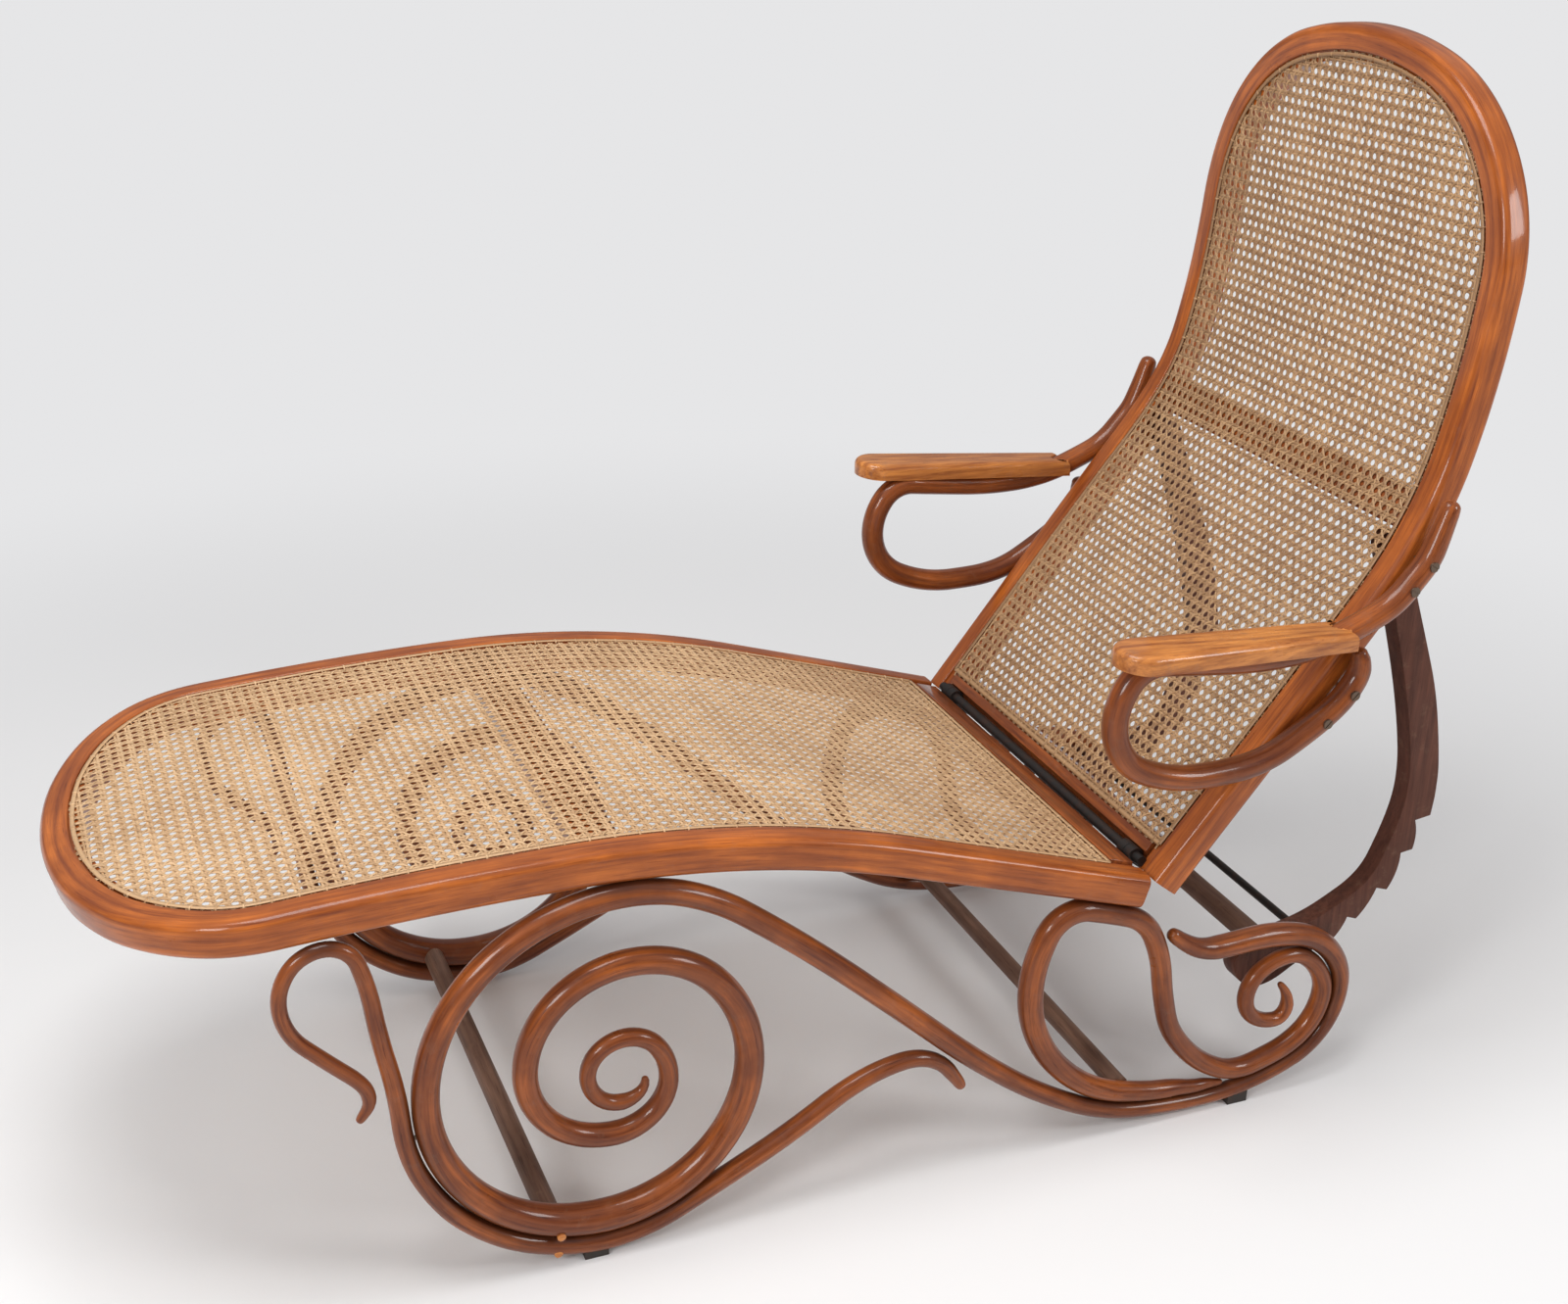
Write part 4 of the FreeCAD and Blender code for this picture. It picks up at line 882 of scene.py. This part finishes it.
# %% Binder and stitches
BINDER_INSET = 4.4
BINDER_WIDTH = 4.6
BINDER_THICK = 0.8
BINDER_LEVEL = 1.5
STITCH_WIDTH = 2.0
STITCH_HEIGHTS = np.array([-0.4, 1.9, 2.25, 1.9, -0.4])
STITCH_SPREAD = np.array([-1.0, -0.85, 0.0, 0.85, 1.0]) * (BINDER_WIDTH / 2 + 0.5)
CLOSING_POINTS = 40
STITCH_STEP = 2 * PITCH


def border(panel, bends, closed_low):
    """The binder's path a little inside the frame's inner edge, and a stitch across it at every second hole"""
    a, b, _ = outline_path(bends, 5.0, RIM_WIDTH + BINDER_INSET)
    if panel.axis == "x":
        keep = a < closed_low
        corner = [(closed_low, b[keep][0]), (closed_low, b[keep][-1])]
    else:
        keep = b > closed_low
        corner = [(a[keep][0], closed_low), (a[keep][-1], closed_low)]
    a, b = a[keep], b[keep]
    line = np.concatenate([[corner[0]], np.stack([a, b], 1), [corner[1]]])
    closing = np.linspace(corner[1], corner[0], CLOSING_POINTS)
    binders, stitches, facing_b, facing_s = [], [], [], []
    for path in (line, closing):
        value, y = (path[:, 0], path[:, 1]) if panel.axis == "x" else (path[:, 1], path[:, 0])
        s = panel.curve.s_of(value, panel.axis)
        place = panel.lay(s, y, BINDER_LEVEL)
        binders.append(place)
        facing_b.append((panel.lay(s, y, BINDER_LEVEL + 1) - place) / MM)
        run = np.concatenate([[0], np.cumsum(np.hypot(np.diff(s), np.diff(y)))])
        for at in np.arange(STITCH_STEP / 2, run[-1], STITCH_STEP):
            s0, y0 = np.interp(at, run, s), np.interp(at, run, y)
            s1, y1 = np.interp(at + 1, run, s), np.interp(at + 1, run, y)
            across = np.array([-(y1 - y0), s1 - s0])
            across = across / np.linalg.norm(across)
            ss, yy = s0 + across[0] * STITCH_SPREAD, y0 + across[1] * STITCH_SPREAD
            place = panel.lay(ss, yy, STITCH_HEIGHTS)
            stitches.append(place)
            facing_s.append((panel.lay(ss, yy, STITCH_HEIGHTS + 1) - place) / MM)
    for label, paths, facing, width in (("binder", binders, facing_b, BINDER_WIDTH),
                                        ("stitches", stitches, facing_s, STITCH_WIDTH)):
        mesh = paths_mesh(panel.name + label, paths)
        vectors_on(mesh, "facing", np.concatenate(facing))
        numbers_on(mesh, "tone", np.concatenate([np.full(len(p), random.random()) for p in paths]))
        piece = made_by(STRAND_TREE, panel.name + "_" + label, mesh, Width=width * MM,
                        Thickness=BINDER_THICK * MM, Material=panel.material)
        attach(piece, panel.body)


border(seat_panel, SEAT_PLAN, SEAT_END - RIM_WIDTH - BINDER_INSET)
border(back_panel, BACK_RAIL, BACK_CURVE.at(RIM_WIDTH + BINDER_INSET)[1])

# %% [markdown]
# ## Pieces whose solid is already right
# Bars, screws and hinge parts keep the solid model's own mesh. Only their finish changes. Board-like pieces with
# hard edges get a copy with a fine bevel, because an edge that catches the light makes wood look worked.


# %% Finish on the model's own pieces
FINISHES = {
    "front_stretcher": BAR_WOOD, "middle_stretcher": BAR_WOOD, "support_rod": IRON, "hinge_rod": IRON,
    "bow_cross_bar": BAR_WOOD,
}
for side_name in SIDES:
    FINISHES.update({"scroll_screws_" + side_name: STEEL, "arm_screws_" + side_name: STEEL,
                     "bow_pin_" + side_name: STEEL, "seat_hinge_" + side_name: IRON,
                     "back_hinge_" + side_name: IRON, "front_foot_" + side_name: FELT,
                     "rear_foot_" + side_name: FELT})
for node, material in FINISHES.items():
    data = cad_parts[node].data
    data.materials.clear()
    data.materials.append(material)
print("finished:", sorted(FINISHES))


# %% Bevelled copies
def bevelled(node, name, material, body, width, top=0.0, angle=35):
    """A merged copy of a node with its hard edges rounded; top also rounds the edges of its upper face"""
    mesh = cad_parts[node].data.copy()
    mesh.name = name
    work = bmesh.new()
    work.from_mesh(mesh)
    bmesh.ops.remove_doubles(work, verts=work.verts, dist=0.00002)
    bmesh.ops.dissolve_limit(work, angle_limit=math.radians(1.0), verts=work.verts, edges=work.edges)
    if top:
        upper = max((face for face in work.faces if face.normal.z > 0.9), key=lambda face: face.calc_area())
        bmesh.ops.bevel(work, geom=list(upper.edges), offset=top * MM, segments=6, profile=0.5, affect="EDGES",
                        clamp_overlap=False)
    work.to_mesh(mesh)
    work.free()
    mesh.materials.clear()
    mesh.materials.append(material)
    obj = link(bpy.data.objects.new(name, mesh))
    modifier = obj.modifiers.new("worn edge", "BEVEL")
    modifier.width = width * MM
    modifier.segments = 3
    modifier.limit_method = "ANGLE"
    modifier.angle_limit = math.radians(angle)
    modifier.harden_normals = False
    graph = bpy.context.evaluated_depsgraph_get()
    final = bpy.data.meshes.new_from_object(obj.evaluated_get(graph), depsgraph=graph)
    obj.modifiers.clear()
    obj.data = final
    final.name = name
    shade(obj, angle)
    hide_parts(node)
    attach(obj, body)
    return obj


PAD_ROUND = 8.0
BOARDS = [("seat_rear_rail", RAIL_WOOD, "base", 2.0), ("seat_cross_rail", RAIL_WOOD, "base", 2.0),
          ("back_bottom_rail", RAIL_WOOD, "back", 2.0), ("back_cross_rail", RAIL_WOOD, "back", 2.0)]
for side_name in SIDES:
    BOARDS += [("arm_pad_" + side_name, ARM_WOOD, "back", 1.5), ("bow_" + side_name, BOW_WOOD, "bow", 1.6)]
for node, material, body, width in BOARDS:
    piece = bevelled(node, node + "_worked", material, body, width, PAD_ROUND if "pad" in node else 0.0)
    print(piece.name, len(piece.data.polygons))

# %% Round plugs over the screws of the front stretcher
def plug(name, x, z, face_y, radius=4.6, height=1.2):
    """A low dome on the outer face of a strand"""
    outward = math.copysign(1, face_y)
    steps = 24
    points = [(0.0, outward * height, 0.0)]
    faces = []
    for share, rise in ((0.6, 0.8), (1.0, 0.0), (1.0, -2.5)):
        for i in range(steps):
            c, s = unit(360 * i / steps)
            points.append((radius * share * c, outward * height * rise, radius * share * s))
    for i in range(steps):
        k = (i + 1) % steps
        faces.append((0, 1 + i, 1 + k))
        for row in (1, 1 + steps):
            faces.append((row + i, row + steps + i, row + steps + k, row + k))
    mesh = bpy.data.meshes.new(name)
    mesh.from_pydata([spot(x + px, face_y + py, z + pz) for px, py, pz in points], [], faces)
    mesh.materials.append(ARM_WOOD)
    obj = link(bpy.data.objects.new(name, mesh))
    point_outwards(obj)
    shade(obj, 50)
    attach(obj, "base")
    return obj


PLUGS = (("ring_plug_", 10.4, 43.0, 16.6), ("foot_plug_", 8.3, 17.8, 10.4))
for side_name, sign in SIDES.items():
    for label, x, z, radius in PLUGS:
        plug(label + side_name, x, z, sign * (STRAND_Y + radius))

# %% [markdown]
# ## Studio
# A pale floor that runs into a pale surround, a large soft lamp above and two weaker ones. The camera stands
# where the photograph was taken from: high on the left of the foot end, with a slightly long lens.


# %% Floor and surround
PALE = (0.79, 0.79, 0.80)


def make_floor():
    """A matt floor that far from the chair shows as one plain pale colour, without lighting anything"""
    material = bpy.data.materials.new("Pale floor")
    material.use_nodes = True
    tree = material.node_tree
    shader = tree.nodes["Principled BSDF"]
    shader.inputs["Base Color"].default_value = (0.80, 0.795, 0.79, 1)
    shader.inputs["Roughness"].default_value = 0.9
    place = add(tree, "ShaderNodeTexCoord").outputs["Object"]
    away = add(tree, "ShaderNodeVectorMath", {0: place}, operation="LENGTH").outputs["Value"]
    far = add(tree, "ShaderNodeMapRange", {"Value": away, "From Min": 0.9, "From Max": 2.6},
              interpolation_type="SMOOTHSTEP").outputs[0]
    rays = add(tree, "ShaderNodeLightPath")
    seen = maths(tree, "ADD", rays.outputs["Is Camera Ray"], rays.outputs["Is Glossy Ray"], clamp=True)
    seen = maths(tree, "ADD", seen, rays.outputs["Is Transmission Ray"], clamp=True)
    plain = add(tree, "ShaderNodeEmission", {"Color": (*PALE, 1), "Strength": 1.0}).outputs[0]
    share = maths(tree, "MULTIPLY", far, seen)
    blend = add(tree, "ShaderNodeMixShader", {0: share, 1: shader.outputs[0], 2: plain})
    tree.links.new(blend.outputs[0], tree.nodes["Material Output"].inputs["Surface"])
    mesh = bpy.data.meshes.new("floor")
    wide = 40.0
    corners = [(-wide, -wide, 0), (wide, -wide, 0), (wide, wide, 0), (-wide, wide, 0)]
    mesh.from_pydata(corners, [], [(0, 1, 2, 3)])
    mesh.materials.append(material)
    return link(bpy.data.objects.new("floor", mesh))


make_floor()


def make_surround():
    """Soft light that is stronger from above; the camera sees only the plain pale colour"""
    world = bpy.data.worlds.new("Studio surround")
    bpy.context.scene.world = world
    world.use_nodes = True
    tree = world.node_tree
    direction = add(tree, "ShaderNodeTexCoord").outputs["Generated"]
    height = add(tree, "ShaderNodeSeparateXYZ", {0: direction}).outputs["Z"]
    light = ramp(tree, height, [(0.0, (0.14, 0.14, 0.15)), (0.9, (0.60, 0.60, 0.61))])
    rays = add(tree, "ShaderNodeLightPath")
    colour = mix(tree, rays.outputs["Is Camera Ray"], light, PALE)
    tree.links.new(colour, tree.nodes["Background"].inputs["Color"])


make_surround()

# %% Lamps
# Name, place, aim, width in metres and power
LAMPS = [("overhead", (-0.6, -0.4, 2.9), (0.1, 0.0, 0.4), 1.3, 46.0),
         ("left", (-2.4, -1.9, 1.9), (0.0, 0.0, 0.5), 0.9, 40.0),
         ("right", (2.3, -2.2, 1.9), (0.3, 0.0, 0.5), 0.9, 34.0)]
for name, place, aim, wide_lamp, power in LAMPS:
    lamp = bpy.data.lights.new(name, "AREA")
    lamp.size = wide_lamp
    lamp.energy = power
    obj = link(bpy.data.objects.new(name + " lamp", lamp))
    obj.location = place
    obj.rotation_euler = (Vector(aim) - Vector(place)).to_track_quat("-Z", "Y").to_euler()

# %% Camera
AZIMUTH, ELEVATION, ROLL = math.radians(-22.065), math.radians(23.116), math.radians(1.049)
CAMERA_SPOT = (-426.9, -1952.9, 1427.8)
LENS = 47.07
level = math.cos(ELEVATION)
back = Vector((math.sin(AZIMUTH) * level, -math.cos(AZIMUTH) * level, math.sin(ELEVATION)))
across = Vector((math.cos(AZIMUTH), math.sin(AZIMUTH), 0))
up = back.cross(across)
right = across * math.cos(ROLL) + up * math.sin(ROLL)
upright = up * math.cos(ROLL) - across * math.sin(ROLL)
camera_data = bpy.data.cameras.new("camera")
camera_data.sensor_width = 36.0
camera_data.lens = LENS
camera = link(bpy.data.objects.new("camera", camera_data))
turn = Matrix((right, upright, back)).transposed().to_4x4()
camera.matrix_world = Matrix.Translation(Vector(spot(*CAMERA_SPOT))) @ turn
bpy.context.scene.camera = camera
bpy.context.scene.view_settings.view_transform = "Standard"
